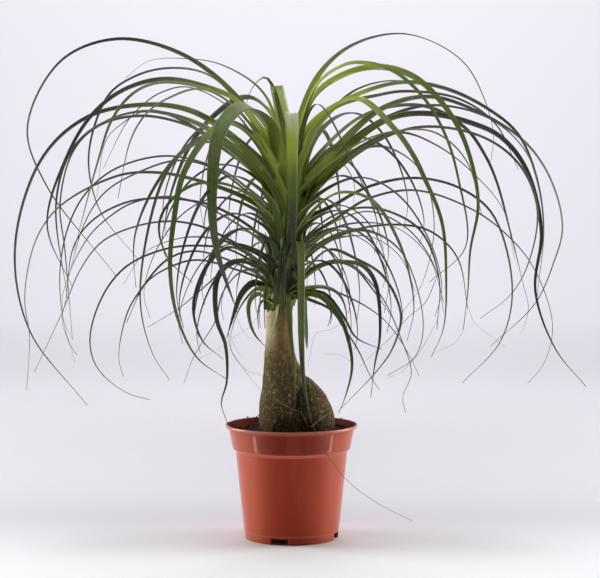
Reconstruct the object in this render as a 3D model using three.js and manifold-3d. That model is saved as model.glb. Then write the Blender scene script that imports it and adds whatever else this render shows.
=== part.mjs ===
// A ponytail palm in a moulded plastic nursery pot.
// Millimetres, +Z up. The origin is on the pot's axis, on the surface it stands on.
// +X is to the right and -Y is towards the viewer.
// The pieces are the pot, the soil in it, the swollen trunk, and the crown of leaves on the stem.

import * as THREE from 'three';
import { mergeVertices } from 'three/addons/utils/BufferGeometryUtils.js';
import Module from 'manifold-3d';

const wasm = await Module();
wasm.setup();

// Pot
const potHeight = 104;
const lipRadius = 60;
const lipDepth = 3;
const collarTopRadius = 57.2;
const collarBottomRadius = 53.6;
const collarBottom = 82;
const bodyTopRadius = 51;
const bodyTop = 80;
const bodyBottomRadius = 43.4;
const bodyBottom = 8;
const footRadius = 42.4;
const footWidth = 2.4;
const potWall = 1.3;
const potEdge = 0.5;
const floorTop = 6.3;
const floorCorner = 1.8;
const potSides = 48;
const notchCount = 4;
const notchWidth = 16;
const notchHeight = 6.5;
const notchDepth = 12;
const notchBelow = 2;
const firstNotchTurn = -105;
const lugCount = 5;
const lugWidth = 3.2;
const lugProud = 0.5;
const lugHeight = 13;
const firstLugTurn = -124;

// Soil
const soilClearance = 0.4;
const soilTop = 97.5;
// Waves of the soil's lumpy top: [turns across, turns in depth, start, height]
const soilWaves = [[0.21, 0.17, 1.3, 0.9], [0.24, -0.2, 0.2, 0.6], [0.47, -0.39, 0, 0.6]];
const soilLump = 2;
const soilRings = 7;

// Trunk: rings of [height, middle across, half width across, half depth]
const trunkSides = 22;
const stemRings = [
  [66, -3.5, 9, 9], [68, -3.5, 18.5, 18], [76, -3.5, 23.5, 24], [88, -3.5, 25.5, 26],
  [100, -4, 26, 26.5], [112, -5.7, 24.6, 25], [124, -7.7, 21.7, 22.5], [136, -7.5, 19.5, 19.5],
  [146, -6.9, 19.1, 17], [154, -7.7, 17.4, 15], [161, -9.4, 15.3, 13.8], [168, -10.6, 14.1, 13],
  [174, -10.8, 13.2, 12.6], [187, -11.3, 12, 12], [205.7, -11.3, 12.2, 12],
];
const lobeRings = [
  [70, 16, 6, 6], [72, 16, 12, 13], [80, 17, 16.5, 19], [92, 18, 20.5, 23],
  [104, 18.5, 21, 24], [113, 18, 20.2, 23], [122, 16.8, 18.9, 20.5], [132, 14.3, 15.8, 16],
  [140, 12.3, 10.6, 11], [146, 10.5, 6, 6], [149, 9.5, 2, 2],
];
const pegRadius = 6;
const pegTop = 220;
const pegLean = 1;
const pegSunk = 4;

// Crown: the core of packed leaf bases, rings of [height, middle across, radius]
const coreSides = 14;
const coreRings = [
  [206, -11.3, 12], [211, -11.1, 12.8], [222, -10, 13.6], [240, -7, 14], [262, -4, 13],
  [286, -1.6, 11.5], [310, 0, 10], [332, 0.4, 7.5], [346, 0.5, 4], [350, 0.5, 1.2],
];
const lowestRoot = 214;
const highestRoot = 336;
const rootDepth = 3;
const steepest = 2.4;
const stemClearance = 0.3;

// Blades
const stepLength = 33;
const fewestSteps = 6;
const mostSteps = 12;
const threadWidth = 1.1;
const keelBase = 0.75;
const keelShare = 0.17;
const taperPower = 2.6;
const restWidth = 0.5;
const restShare = 0.18;
const cutPower = 40;
const rollStart = 0.5;
const rollShare = 0.4;

// The knots of the leaves below were read in the upright plane through the pot's axis.
// A leaf that comes forward is nearer to the eye, which was this far away, to the right and up.
const eyeDistance = 1750;
const eyeSide = 7.7;
const eyeHeight = 335;

// Leaves read one by one: [forward for each mm sideways, width, roll of the face in degrees,
// [sideways, height] of each knot from the crown to the tip]
const readLeaves = [
  // Left, the high arches
  [-0.2, 7.5, 40, [[-18, 345], [-52, 402], [-100, 439], [-158, 452], [-208, 432], [-238, 373],
    [-222, 322], [-159, 239]]],
  [-0.1, 10, 45, [[-18, 325], [-57, 366], [-90, 387], [-130, 393], [-184, 382], [-225, 345],
    [-250, 266], [-238, 190], [-186, 121]]],
  [-0.9, 8, -35, [[-18, 345], [-50, 398], [-75, 420], [-108, 426], [-140, 419], [-166, 400], [-183, 347],
    [-174, 300], [-140, 255]]],
  [0.45, 11.5, 55, [[-15, 345], [-49, 395], [-72, 407], [-113, 416], [-150, 407], [-179, 385],
    [-203, 346], [-221, 285], [-199, 229]]],
  [0.8, 9.5, 40, [[-16, 340], [-60, 398], [-113, 413], [-140, 405], [-161, 381], [-175, 341],
    [-187, 299], [-197, 262]]],
  [-0.5, 10.5, 35, [[-22, 320], [-60, 359], [-86, 376], [-132, 387], [-172, 376], [-197, 351],
    [-209, 305], [-205, 262], [-199, 181]]],
  [-0.62, 8, -30, [[-22, 316], [-60, 354], [-88, 372], [-134, 383], [-175, 374], [-201, 348],
    [-213, 303], [-203, 217]]],
  [-1.0, 6.5, 25, [[-20, 318], [-70, 360], [-105, 382], [-130, 388], [-152, 377], [-168, 360],
    [-176, 310]]],
  [-1.05, 6, -35, [[-18, 330], [-50, 385], [-92, 409], [-118, 404], [-133, 394], [-149, 377],
    [-170, 336]]],
  [1.2, 6.5, 35, [[-18, 335], [-45, 385], [-80, 407], [-111, 399], [-131, 385], [-145, 362],
    [-157, 309]]],
  [-1.2, 3, 20, [[-8, 345], [-22, 399], [-60, 428], [-100, 435], [-130, 432], [-150, 417]]],
  [-1.3, 12, -40, [[-6, 345], [-17, 381], [-30, 396], [-43, 399], [-60, 391], [-88, 362], [-108, 316],
    [-118, 268]]],
  // Left, towards the viewer
  [1.3, 12.5, 30, [[-13, 318], [-38, 365], [-58, 376], [-73, 368], [-98, 330], [-106, 292], [-110, 247],
    [-104, 203], [-87, 166], [-58, 144]]],
  [1.0, 10.5, 35, [[-16, 322], [-50, 362], [-78, 364], [-103, 346], [-127, 313], [-141, 278],
    [-143, 256], [-141, 228]]],
  [1.1, 8, 30, [[-15, 310], [-50, 352], [-85, 358], [-111, 335], [-129, 283], [-137, 215], [-127, 170],
    [-111, 144]]],
  [0.7, 6.5, 30, [[-18, 290], [-50, 318], [-85, 322], [-109, 307], [-120, 285], [-112, 255],
    [-90, 233]]],
  // Left, the middle of the crown
  [-0.15, 8, 25, [[-20, 291], [-44, 309], [-94, 327], [-125, 332], [-157, 329], [-209, 302], [-231, 272],
    [-242, 219], [-238, 185], [-241, 135]]],
  [-0.45, 6.5, -30, [[-20, 297], [-43, 320], [-65, 335], [-112, 347], [-160, 335], [-187, 312],
    [-203, 280], [-210, 238], [-206, 192], [-200, 174], [-195, 167]]],
  [0.5, 6, 35, [[-18, 285], [-60, 330], [-100, 343], [-139, 332], [-169, 314], [-187, 287],
    [-203, 235]]],
  [0.35, 6.5, 30, [[-25, 270], [-67, 300], [-94, 307], [-120, 309], [-150, 305], [-180, 289],
    [-197, 266], [-205, 215]]],
  [-0.6, 6.5, -30, [[-22, 262], [-60, 292], [-105, 310], [-143, 305], [-165, 292], [-183, 275],
    [-199, 247], [-208, 221]]],
  [0.15, 5.5, 30, [[-22, 250], [-53, 269], [-81, 283], [-108, 288], [-139, 284], [-171, 270],
    [-191, 245], [-208, 206], [-234, 151]]],
  // Left, the low skirt
  [-1.2, 5.5, 30, [[-25, 245], [-55, 268], [-90, 274], [-118, 268], [-135, 258], [-152, 232]]],
  [0.4, 4.5, 30, [[-25, 240], [-53, 261], [-88, 266], [-118, 262], [-150, 247], [-171, 221], [-183, 182],
    [-177, 156], [-151, 133], [-129, 126]]],
  [-0.7, 6.5, -35, [[-25, 235], [-53, 251], [-88, 261], [-113, 253], [-136, 227], [-149, 205],
    [-157, 165], [-153, 147]]],
  [1.1, 6, 30, [[-22, 232], [-50, 244], [-85, 253], [-107, 248], [-132, 232], [-150, 196]]],
  [1.3, 8, 25, [[-22, 240], [-40, 258], [-58, 264], [-77, 247], [-89, 212], [-82, 182], [-62, 163]]],
  [0.9, 9, 35, [[-20, 232], [-40, 250], [-55, 250], [-67, 237], [-68, 200], [-60, 176], [-59, 142],
    [-64, 123], [-59, 106]]],
  [1.6, 8, 40, [[-20, 215], [-32, 222], [-39, 214], [-38, 197], [-33, 185], [-24, 175]]],
  [0.9, 11, 45, [[-20, 225], [-35, 232], [-46, 222], [-52, 206], [-59, 182]]],
  [1.4, 10, -40, [[-18, 222], [-32, 226], [-44, 214], [-51, 200], [-56, 183]]],
  [0.5, 5, 20, [[-18, 214], [-26, 216], [-30, 206], [-30, 190]]],
  [0.2, 5, 30, [[-24, 246], [-50, 250], [-82, 226], [-100, 211], [-131, 192]]],
  [-1.0, 6, 30, [[-20, 238], [-44, 243], [-62, 224], [-69, 198], [-80, 180], [-90, 163], [-98, 141]]],
  // Middle, thin curl at the top
  [-0.8, 5, 35, [[-4, 350], [-10, 385], [-17, 410], [-24, 418], [-35, 409], [-41, 393], [-43, 372]]],
  // Right, the high arches
  [-0.8, 7.5, 35, [[4, 345], [20, 411], [49, 443], [96, 457], [133, 447], [161, 424], [182, 370],
    [180, 342]]],
  [0.75, 6.5, 50, [[5, 345], [22, 409], [46, 428], [63, 431], [91, 424], [118, 401], [139, 366],
    [151, 326], [158, 266], [125, 233]]],
  [0.6, 10, 55, [[7, 345], [20, 398], [46, 419], [78, 427], [111, 418], [139, 391], [157, 359],
    [169, 305], [162, 262], [160, 225], [156, 190]]],
  [-1.15, 4, 30, [[5, 345], [34, 385], [57, 406], [95, 415], [130, 405], [152, 372]]],
  [0.3, 10, 40, [[10, 352], [20, 375], [45, 394], [80, 409], [107, 413], [143, 406], [179, 388],
    [204, 367], [220, 332], [228, 285], [223, 221]]],
  [-0.7, 9, -30, [[8, 345], [36, 387], [81, 402], [105, 405], [152, 398], [185, 375], [205, 335]]],
  [-0.25, 10.5, 35, [[12, 312], [35, 345], [80, 388], [123, 400], [165, 388], [210, 360], [234, 326],
    [245, 283], [237, 250], [221, 214], [181, 175]]],
  [0.25, 10.5, 50, [[10, 300], [25, 320], [59, 360], [91, 381], [122, 385], [161, 377], [189, 364],
    [212, 335], [226, 280], [221, 225], [240, 172], [268, 138]]],
  [-0.4, 8, 30, [[12, 305], [60, 365], [120, 392], [180, 380], [215, 345], [228, 285], [223, 221]]],
  [0.45, 8.5, 40, [[10, 295], [55, 345], [110, 372], [170, 365], [205, 340], [222, 300], [215, 252],
    [199, 222], [171, 200]]],
  [1.2, 10.5, 40, [[8, 330], [30, 380], [60, 398], [92, 372], [109, 349], [120, 327], [136, 287],
    [140, 238], [138, 192], [127, 165]]],
  [-1.4, 8, 30, [[8, 305], [45, 345], [85, 355], [119, 330], [129, 282], [118, 231], [100, 205]]],
  [-0.65, 9.5, -35, [[8, 320], [60, 380], [118, 392], [157, 372], [174, 349], [185, 325], [199, 275],
    [212, 224]]],
  [1.0, 8, 35, [[8, 310], [60, 358], [108, 371], [134, 366], [159, 341], [172, 295]]],
  [-0.5, 8, 30, [[8, 298], [30, 325], [57, 351], [97, 368], [134, 355], [168, 328], [192, 298],
    [202, 255]]],
  // Right, the middle of the crown
  [0.3, 7, 30, [[10, 285], [37, 301], [70, 319], [112, 327], [152, 318], [182, 294], [200, 228],
    [190, 180], [155, 141]]],
  [0.1, 6.5, 30, [[12, 268], [41, 290], [69, 308], [112, 316], [165, 298], [199, 272], [220, 245],
    [237, 195], [230, 160], [215, 141]]],
  [1.1, 5.5, 30, [[12, 270], [31, 289], [60, 300], [91, 296], [119, 277], [134, 235], [132, 190]]],
  [-1.2, 5.5, -30, [[10, 266], [40, 288], [69, 297], [97, 287], [116, 270], [132, 241], [138, 205]]],
  [-1.0, 5, 30, [[10, 262], [40, 282], [68, 287], [98, 281], [125, 255], [138, 215]]],
  [0.8, 5.5, 30, [[15, 258], [54, 279], [98, 285], [128, 278], [151, 254], [160, 209]]],
  [1.4, 5, -30, [[14, 262], [39, 280], [58, 275], [75, 263], [88, 235], [84, 205]]],
  [-1.5, 5, 30, [[10, 252], [30, 268], [55, 275], [78, 272], [100, 254], [112, 225]]],
  [1.5, 8, 35, [[12, 285], [34, 310], [52, 314], [75, 305], [92, 280], [105, 247], [111, 208],
    [105, 180]]],
  // Right, the low skirt
  [0.9, 7, 30, [[15, 245], [33, 262], [58, 254], [84, 237], [99, 203], [92, 174], [78, 153], [45, 118]]],
  [-0.9, 5.5, -30, [[12, 240], [40, 251], [58, 245], [71, 230], [91, 202]]],
  [1.2, 8.5, 30, [[12, 236], [30, 248], [49, 251], [66, 247], [76, 233], [80, 210], [80, 180], [76, 160],
    [72, 128]]],
  [-0.5, 7, 30, [[12, 222], [22, 228], [50, 220], [85, 198], [108, 165], [116, 148]]],
  [1.1, 7.5, 40, [[10, 222], [29, 218], [45, 199], [53, 175], [55, 155], [49, 129], [43, 114]]],
  [0.6, 6.5, 30, [[10, 224], [30, 222], [48, 200], [58, 183], [82, 172]]],
  [1.5, 7, 35, [[8, 226], [32, 228], [45, 220], [50, 205], [50, 188]]],
  [0.3, 7.5, -30, [[10, 219], [35, 208], [48, 190], [60, 172], [71, 149], [80, 135]]],
  [-0.9, 8, 30, [[12, 255], [60, 280], [98, 262], [117, 215], [119, 185], [112, 165], [87, 148]]],
  [-0.6, 5.5, 30, [[12, 240], [46, 252], [80, 222], [100, 180], [109, 150], [101, 128], [104, 114]]],
  [0.7, 5.5, 30, [[8, 219], [24, 220], [36, 207], [33, 193]]],
];

// Leaves that face the viewer: [width, roll of the face in degrees, power of the taper,
// [across, depth, height] of each knot]. A power of 40 leaves the end as cut.
const facingLeaves = [
  [15.5, -25, 1.7, [[-2.5, -5, 320], [-10, -17, 330], [-17.5, -30, 372.5], [-31, -52, 387.5],
    [-44, -78, 388.5], [-58, -105, 372.5], [-63.5, -116, 354.5], [-66.5, -119, 306],
    [-63, -105.5, 266.5], [-47, -61, 209.5]]],
  [12, 0, 9, [[0, -6, 290], [0.6, -16, 345], [0.6, -33, 378], [0.6, -46, 385], [0.6, -56, 375],
    [0.8, -61, 335], [1, -59, 296], [2, -54, 268], [3, -48, 246]]],
  [7.5, 0, 3.5, [[1, -9, 250], [5, -34, 270], [8, -59, 267], [8.5, -66, 240], [8.5, -68, 200],
    [10, -68, 160], [13, -67, 135], [17.6, -67, 116]]],
  [1.8, 0, 3, [[9, -68, 180], [11, -68, 150], [13, -67, 135], [17.6, -67, 116], [25, -71, 98],
    [47, -74, 66], [73, -70, 45], [107, -63, 26]]],
  [5.5, 0, 1.5, [[-8, -9, 222], [-4, -20, 226], [-2, -25, 205], [0, -31, 180], [3, -41, 150],
    [3, -48, 120]]],
  [4, 0, 1.7, [[-10, -10, 216], [-12, -17, 213], [-13.5, -18, 203], [-17, -18, 190], [-20, -18, 176]]],
  [3.5, 0, 1.7, [[2, -6, 325], [12, -24, 375], [21, -47, 392], [31, -75, 384], [50, -104, 345],
    [70, -120, 300], [78, -122, 268]]],
  [5, 0, 1.7, [[4, -6, 300], [24, -18, 332], [44, -28, 341], [56, -33, 322], [55, -35, 306]]],
  [12, 135, 40, [[-2, 3, 330], [-7, 9, 372], [-14, 15, 411]]],
  [5.5, 0, 7, [[2, -8, 224], [10, -19, 226], [12, -25, 205], [14, -30, 175]]],
];

// Fill leaves that follow one rule: [count, from turn, to turn, lowest level, highest level,
// share of the full reach, share of the full droop], with turns in degrees and -90 at the viewer
const fillRuns = [
  [32, 38, 142, 0.0, 1.0, 0.8, 0.62],
  [5, -114, -66, 0, 0.25, 0.5, 0.6],
  [6, -66, -40, 0.05, 0.6, 1.0, 0.8],
  [6, -140, -114, 0.05, 0.6, 1.0, 0.8],
];
// A fill leaf's outline: [share of the reach, share of the rise, share of the droop]
const fillOutline = [
  [0, 0, 0], [0.12, 0.5, 0], [0.3, 0.87, 0], [0.52, 1, 0],
  [0.76, 1, 0.16], [0.94, 1, 0.5], [1, 1, 0.8], [0.96, 1, 1],
];
const golden = 0.618034;
const fillRootLow = 218;
const fillRootSpan = 96;
const fillRiseLow = 24;
const fillRiseSpan = 56;
const fillReachLow = 110;
const fillReachSpan = 132;
const fillDropLow = 92;
const fillDropSpan = 88;
const fillWidthLow = 5;
const fillWidthSpan = 4.5;
const drawJitter = 0.08;
const drawTwist = 40;

// A seeded draw from 0 to 1, the same on every run: each state is the last one times the factor
// plus the step, in 32 bits
const drawFactor = 1664525;
const drawStep = 1013904223;
const drawRange = 2 ** 32;
let drawState = 20317;
function draw() {
  drawState = (Math.imul(drawState, drawFactor) + drawStep) >>> 0;
  return drawState / drawRange;
}

// A draw from -1 to 1
const spread = () => draw() * 2 - 1;

const radians = (degrees) => (degrees * Math.PI) / 180;

// Points closer together than this are one vertex
const mergeDistance = 1e-4;

function indexedSolid(vertices, triangles) {
  const mesh = new wasm.Mesh({
    numProp: 3,
    vertProperties: new Float32Array(vertices),
    triVerts: new Uint32Array(triangles),
  });
  return new wasm.Manifold(mesh);
}

// A closed three.js geometry as a solid, with its shared vertices merged
function solidFrom(geometry) {
  geometry.deleteAttribute('normal');
  geometry.deleteAttribute('uv');
  const merged = mergeVertices(geometry, mergeDistance);
  const index = Array.from(merged.index.array);
  const triangles = [];
  for (let i = 0; i < index.length; i += 3) {
    const [a, b, c] = index.slice(i, i + 3);
    if (a !== b && b !== c && c !== a) triangles.push(a, b, c);
  }
  return indexedSolid(merged.attributes.position.array, triangles);
}

// Closed rings of points, joined ring to ring from the bottom up and fanned shut at both ends.
// Every ring runs anticlockwise as seen from the end it leads to.
function loft(rings) {
  const sides = rings[0].length;
  const vertices = rings.flat().flatMap((point) => [point.x, point.y, point.z]);
  const triangles = [];
  for (let ring = 0; ring < rings.length - 1; ring += 1) {
    for (let side = 0; side < sides; side += 1) {
      const a = ring * sides + side;
      const b = ring * sides + ((side + 1) % sides);
      triangles.push(a, b, b + sides, a, b + sides, a + sides);
    }
  }
  const top = (rings.length - 1) * sides;
  for (let side = 1; side < sides - 1; side += 1) {
    triangles.push(0, side + 1, side);
    triangles.push(top, top + side, top + side + 1);
  }
  return indexedSolid(vertices, triangles);
}

function ellipseRing(height, middle, halfWidth, halfDepth, sides) {
  const ring = [];
  for (let side = 0; side < sides; side += 1) {
    const turn = (2 * Math.PI * side) / sides;
    ring.push(new THREE.Vector3(middle + halfWidth * Math.cos(turn), halfDepth * Math.sin(turn), height));
  }
  return ring;
}

// A profile of [radius, height] pairs turned about the Z axis, from the axis and back to it
function turned(profile, sides) {
  const points = profile.map(([radius, height]) => new THREE.Vector2(radius, height));
  const geometry = new THREE.LatheGeometry(points, sides);
  geometry.rotateX(Math.PI / 2);
  return solidFrom(geometry);
}

// A box leaned outwards by lean, moved to its place and then turned about the Z axis
function boxAt(size, lean, place, turn) {
  const geometry = new THREE.BoxGeometry(...size);
  geometry.rotateY(lean);
  geometry.translate(...place);
  geometry.rotateZ(radians(turn));
  return solidFrom(geometry);
}

// The pot is one moulding: foot, tapered body, stepped collar with stacking lugs, and turned lip
function makePot() {
  const lipUnder = potHeight - lipDepth;
  const innerFoot = footRadius - footWidth;
  const profile = [
    [0, floorTop - potWall], [innerFoot, floorTop - potWall], [innerFoot, 0], [footRadius - potEdge, 0],
    [footRadius, potEdge], [bodyBottomRadius - potEdge, bodyBottom - potEdge],
    [bodyBottomRadius, bodyBottom], [bodyTopRadius, bodyTop],
    [collarBottomRadius - potEdge, collarBottom - potEdge], [collarBottomRadius, collarBottom],
    [collarTopRadius, lipUnder - potEdge], [lipRadius - potEdge, lipUnder],
    [lipRadius, lipUnder + potEdge], [lipRadius, potHeight - potEdge],
    [lipRadius - potEdge, potHeight], [collarTopRadius - potEdge, potHeight],
    [collarTopRadius - potWall, potHeight - 2 * potEdge],
    [collarBottomRadius - potWall, collarBottom + potWall],
    [bodyTopRadius - potWall, bodyTop + potEdge], [bodyBottomRadius - potWall, floorTop + floorCorner],
    [bodyBottomRadius - potWall - floorCorner, floorTop], [0, floorTop],
  ];
  let solid = turned(profile, potSides);
  for (let notch = 0; notch < notchCount; notch += 1) {
    const turn = firstNotchTurn + (360 / notchCount) * notch;
    const place = [footRadius, 0, (notchHeight - notchBelow) / 2];
    solid = solid.subtract(boxAt([notchDepth, notchWidth, notchHeight + notchBelow], 0, place, turn));
  }
  const lean = Math.atan2(collarTopRadius - collarBottomRadius, lipUnder - collarBottom);
  const middle = (collarTopRadius + collarBottomRadius) / 2;
  const lugs = [];
  for (let lug = 0; lug < lugCount; lug += 1) {
    const turn = firstLugTurn + (360 / lugCount) * lug;
    const place = [middle, 0, (collarBottom + lipUnder) / 2];
    lugs.push(boxAt([2 * lugProud, lugWidth, lugHeight], lean, place, turn));
  }
  return wasm.Manifold.union([solid, ...lugs]);
}

// The trunk is one grown piece: the stem flares into the swollen base, with a lobe to the right.
// The grown form, larger all round by a margin, is what the soil and the crown are cut by.
function makeTrunk(margin) {
  const ringsOf = (rows) => rows.map(([height, middle, halfWidth, halfDepth], row) => {
    const ends = { 0: -margin, [rows.length - 1]: margin };
    return ellipseRing(height + (ends[row] ?? 0), middle, halfWidth + margin, halfDepth + margin, trunkSides);
  });
  const [topHeight, topMiddle] = stemRings[stemRings.length - 1];
  const peg = loft([
    ellipseRing(topHeight - pegSunk, topMiddle, pegRadius + margin, pegRadius + margin, coreSides),
    ellipseRing(pegTop + margin, topMiddle + pegLean, pegRadius + margin, pegRadius + margin, coreSides),
  ]);
  return wasm.Manifold.union([loft(ringsOf(stemRings)), loft(ringsOf(lobeRings)), peg]);
}

// The lumpy top of the soil: a few waves that do not line up
function soilHeight(x, y) {
  const waves = soilWaves.map(([across, deep, start, height]) => (
    height * Math.sin(x * across + y * deep + start)
  ));
  return soilTop + waves.reduce((sum, wave) => sum + wave, 0);
}

// The soil fills the pot and is cut round the base of the trunk
function makeSoil() {
  const inset = potWall + soilClearance;
  const bottom = floorTop + soilClearance;
  const stepTop = collarBottom + soilClearance + potWall;
  const bodyRings = [
    [bodyBottomRadius - inset - floorCorner, bottom], [bodyBottomRadius - inset, bottom + floorCorner],
    [bodyTopRadius - inset, bodyTop], [collarBottomRadius - inset, stepTop],
  ];
  const rings = bodyRings.map(([radius, height]) => ellipseRing(height, 0, radius, radius, potSides));
  const share = (soilTop - soilLump - stepTop) / (potHeight - stepTop);
  const edge = collarBottomRadius - inset + (collarTopRadius - collarBottomRadius) * share;
  for (let ring = 0; ring < soilRings; ring += 1) {
    const radius = edge * (1 - ring / soilRings);
    const level = ellipseRing(0, 0, radius, radius, potSides);
    level.forEach((point) => point.setZ(soilHeight(point.x, point.y)));
    rings.push(level);
  }
  return loft(rings).subtract(makeTrunk(soilClearance));
}

function mixRows(rows, height) {
  const above = rows.findIndex((row) => row[0] >= height);
  if (above <= 0) return rows[0];
  const [low, high] = [rows[above - 1], rows[above]];
  const share = (height - low[0]) / (high[0] - low[0]);
  return low.map((value, column) => value + (high[column] - value) * share);
}

const axisAt = (height) => mixRows(coreRings, Math.min(height, coreRings[coreRings.length - 1][0]))[1];

// The share of its full width that a blade has at a share of its length. Past its broad base it
// keeps the rest share, and it narrows to nothing by the power, unless its end was cut.
function widthShare(along, power, rest) {
  const narrowed = power >= cutPower ? 1 : 1 - along ** power;
  return narrowed * (rest + (1 - rest) * Math.exp(-along / restShare));
}

// A blade along the knots: flat above with a keel below, broad at the root and a thread at the tip.
// The face is turned about the midrib by the roll, and turns on by the twist towards the tip.
function blade(knots, width, { roll = 0, twist = 0, power = taperPower, rest = restWidth }) {
  const curve = new THREE.CatmullRomCurve3(knots, false, 'centripetal');
  const steps = Math.min(mostSteps, Math.max(fewestSteps, Math.round(curve.getLength() / stepLength)));
  const first = knots[0];
  const far = knots.reduce((best, knot) => {
    const reach = Math.hypot(knot.x - first.x, knot.y - first.y);
    return reach > Math.hypot(best.x - first.x, best.y - first.y) ? knot : best;
  });
  const across = new THREE.Vector3(-(far.y - first.y), far.x - first.x, 0).normalize();
  const rings = [];
  for (let step = 0; step <= steps; step += 1) {
    const along = step / steps;
    const middle = curve.getPointAt(along);
    const tangent = curve.getTangentAt(along);
    const side = across.clone().addScaledVector(tangent, -across.dot(tangent)).normalize();
    const rolled = rollStart + (1 - rollStart) * Math.min(1, along / rollShare);
    side.applyAxisAngle(tangent, radians(roll * rolled + twist * along));
    const face = tangent.clone().cross(side);
    const half = Math.max(width * widthShare(along, power, rest), threadWidth) / 2;
    const keel = keelBase + keelShare * half;
    rings.push([
      middle.clone().addScaledVector(side, half),
      middle.clone().addScaledVector(face, -keel),
      middle.clone().addScaledVector(side, -half),
    ].reverse());
  }
  return loft(rings);
}

// A root just inside the core, where the leaf's first stretch, run back, meets it
function rootOf(forward, first, second) {
  const outwards = Math.sign(second[0] - first[0]);
  const across = axisAt(first[1]) + outwards * rootDepth;
  const slope = Math.min(steepest, (second[1] - first[1]) / Math.abs(second[0] - first[0]));
  const fall = slope * Math.abs(first[0] - across);
  const height = Math.min(highestRoot, Math.max(lowestRoot, first[1] - fall));
  return new THREE.Vector3(axisAt(height) + outwards * rootDepth, -forward * rootDepth, height);
}

// A knot as it shows in the plane of the axis, moved forward along its line of sight
function knotInSpace(forward, across, height) {
  const depth = -forward * Math.abs(across - axisAt(height));
  const scale = (eyeDistance + depth) / eyeDistance;
  return new THREE.Vector3(
    eyeSide + (across - eyeSide) * scale,
    depth,
    eyeHeight + (height - eyeHeight) * scale,
  );
}

function readBlades() {
  return readLeaves.map(([forward, width, roll, read]) => {
    const knots = read.map(([across, height]) => knotInSpace(forward, across, height));
    knots.unshift(rootOf(forward, read[0], read[1]));
    return blade(knots, width, { roll: roll * Math.sign(read[1][0]), twist: spread() * drawTwist });
  });
}

function facingBlades() {
  return facingLeaves.map(([width, roll, power, placed]) => (
    blade(placed.map((knot) => new THREE.Vector3(...knot)), width, { roll, power, rest: 1 })
  ));
}

// Fill leaves: the higher up the crown, the longer, the broader and the further out
function fillBlades() {
  const blades = [];
  for (const [count, fromTurn, toTurn, lowLevel, highLevel, reachShare, dropShare] of fillRuns) {
    for (let leaf = 0; leaf < count; leaf += 1) {
      const turnShare = ((leaf + 1) * golden) % 1;
      const level = lowLevel + ((highLevel - lowLevel) * (leaf + 0.5)) / count;
      const turn = radians(fromTurn + (toTurn - fromTurn) * turnShare);
      const size = 1 + spread() * drawJitter;
      const sway = spread() * drawJitter;
      const twist = spread() * drawTwist;
      const root = fillRootLow + fillRootSpan * level;
      const rise = (fillRiseLow + fillRiseSpan * level) * size;
      const reach = (fillReachLow + fillReachSpan * level) * reachShare * size;
      const drop = (fillDropLow + fillDropSpan * level) * dropShare * size;
      const knots = fillOutline.map(([share, up, down]) => {
        const bearing = turn + sway * share;
        const distance = rootDepth + (reach - rootDepth) * share;
        const x = axisAt(root) + distance * Math.cos(bearing);
        return new THREE.Vector3(x, distance * Math.sin(bearing), root + rise * up - drop * down);
      });
      const width = fillWidthLow + fillWidthSpan * level;
      blades.push(blade(knots, width, { twist }));
    }
  }
  return blades;
}

// The largest body of a solid, without scraps and without the skins of sealed hollows
function largestBody(solid) {
  return solid.decompose().reduce((best, body) => (body.volume() > best.volume() ? body : best));
}

// The crown is one head of leaves on a core of packed leaf bases, with a blind hole for the stem
function makeCrown() {
  const core = loft(coreRings.map(([height, middle, radius]) => (
    ellipseRing(height, middle, radius, radius, coreSides)
  )));
  const blades = [...readBlades(), ...facingBlades(), ...fillBlades()];
  const head = wasm.Manifold.union([core, ...blades]).subtract(makeTrunk(stemClearance));
  return largestBody(head);
}

function meshFrom(name, solid, color, roughness) {
  const { vertProperties, triVerts } = solid.getMesh();
  const geometry = new THREE.BufferGeometry();
  geometry.setAttribute('position', new THREE.BufferAttribute(new Float32Array(vertProperties), 3));
  geometry.setIndex(new THREE.BufferAttribute(new Uint32Array(triVerts), 1));
  geometry.computeVertexNormals();
  const material = new THREE.MeshStandardMaterial({ color, roughness, metalness: 0 });
  const mesh = new THREE.Mesh(geometry, material);
  mesh.name = name;
  return mesh;
}

const plant = new THREE.Group();
plant.add(
  meshFrom('pot', makePot(), 0xa8523a, 0.45),
  meshFrom('soil', makeSoil(), 0x2b1f1c, 0.95),
  meshFrom('trunk', makeTrunk(0), 0x6b5636, 0.85),
  meshFrom('leaf_crown', makeCrown(), 0x4a6a2c, 0.55),
);

export default plant;
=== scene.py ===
"""A ponytail palm in a moulded plastic nursery pot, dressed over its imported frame.

Metres, +Z up, +X to the right of the picture and -Y towards the viewer. The sizes below are
in millimetres, which MM turns into metres, except where their comment says metres. A pair that
rising() reads holds the start of a value and what it gains.
"""

from itertools import combinations

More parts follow.
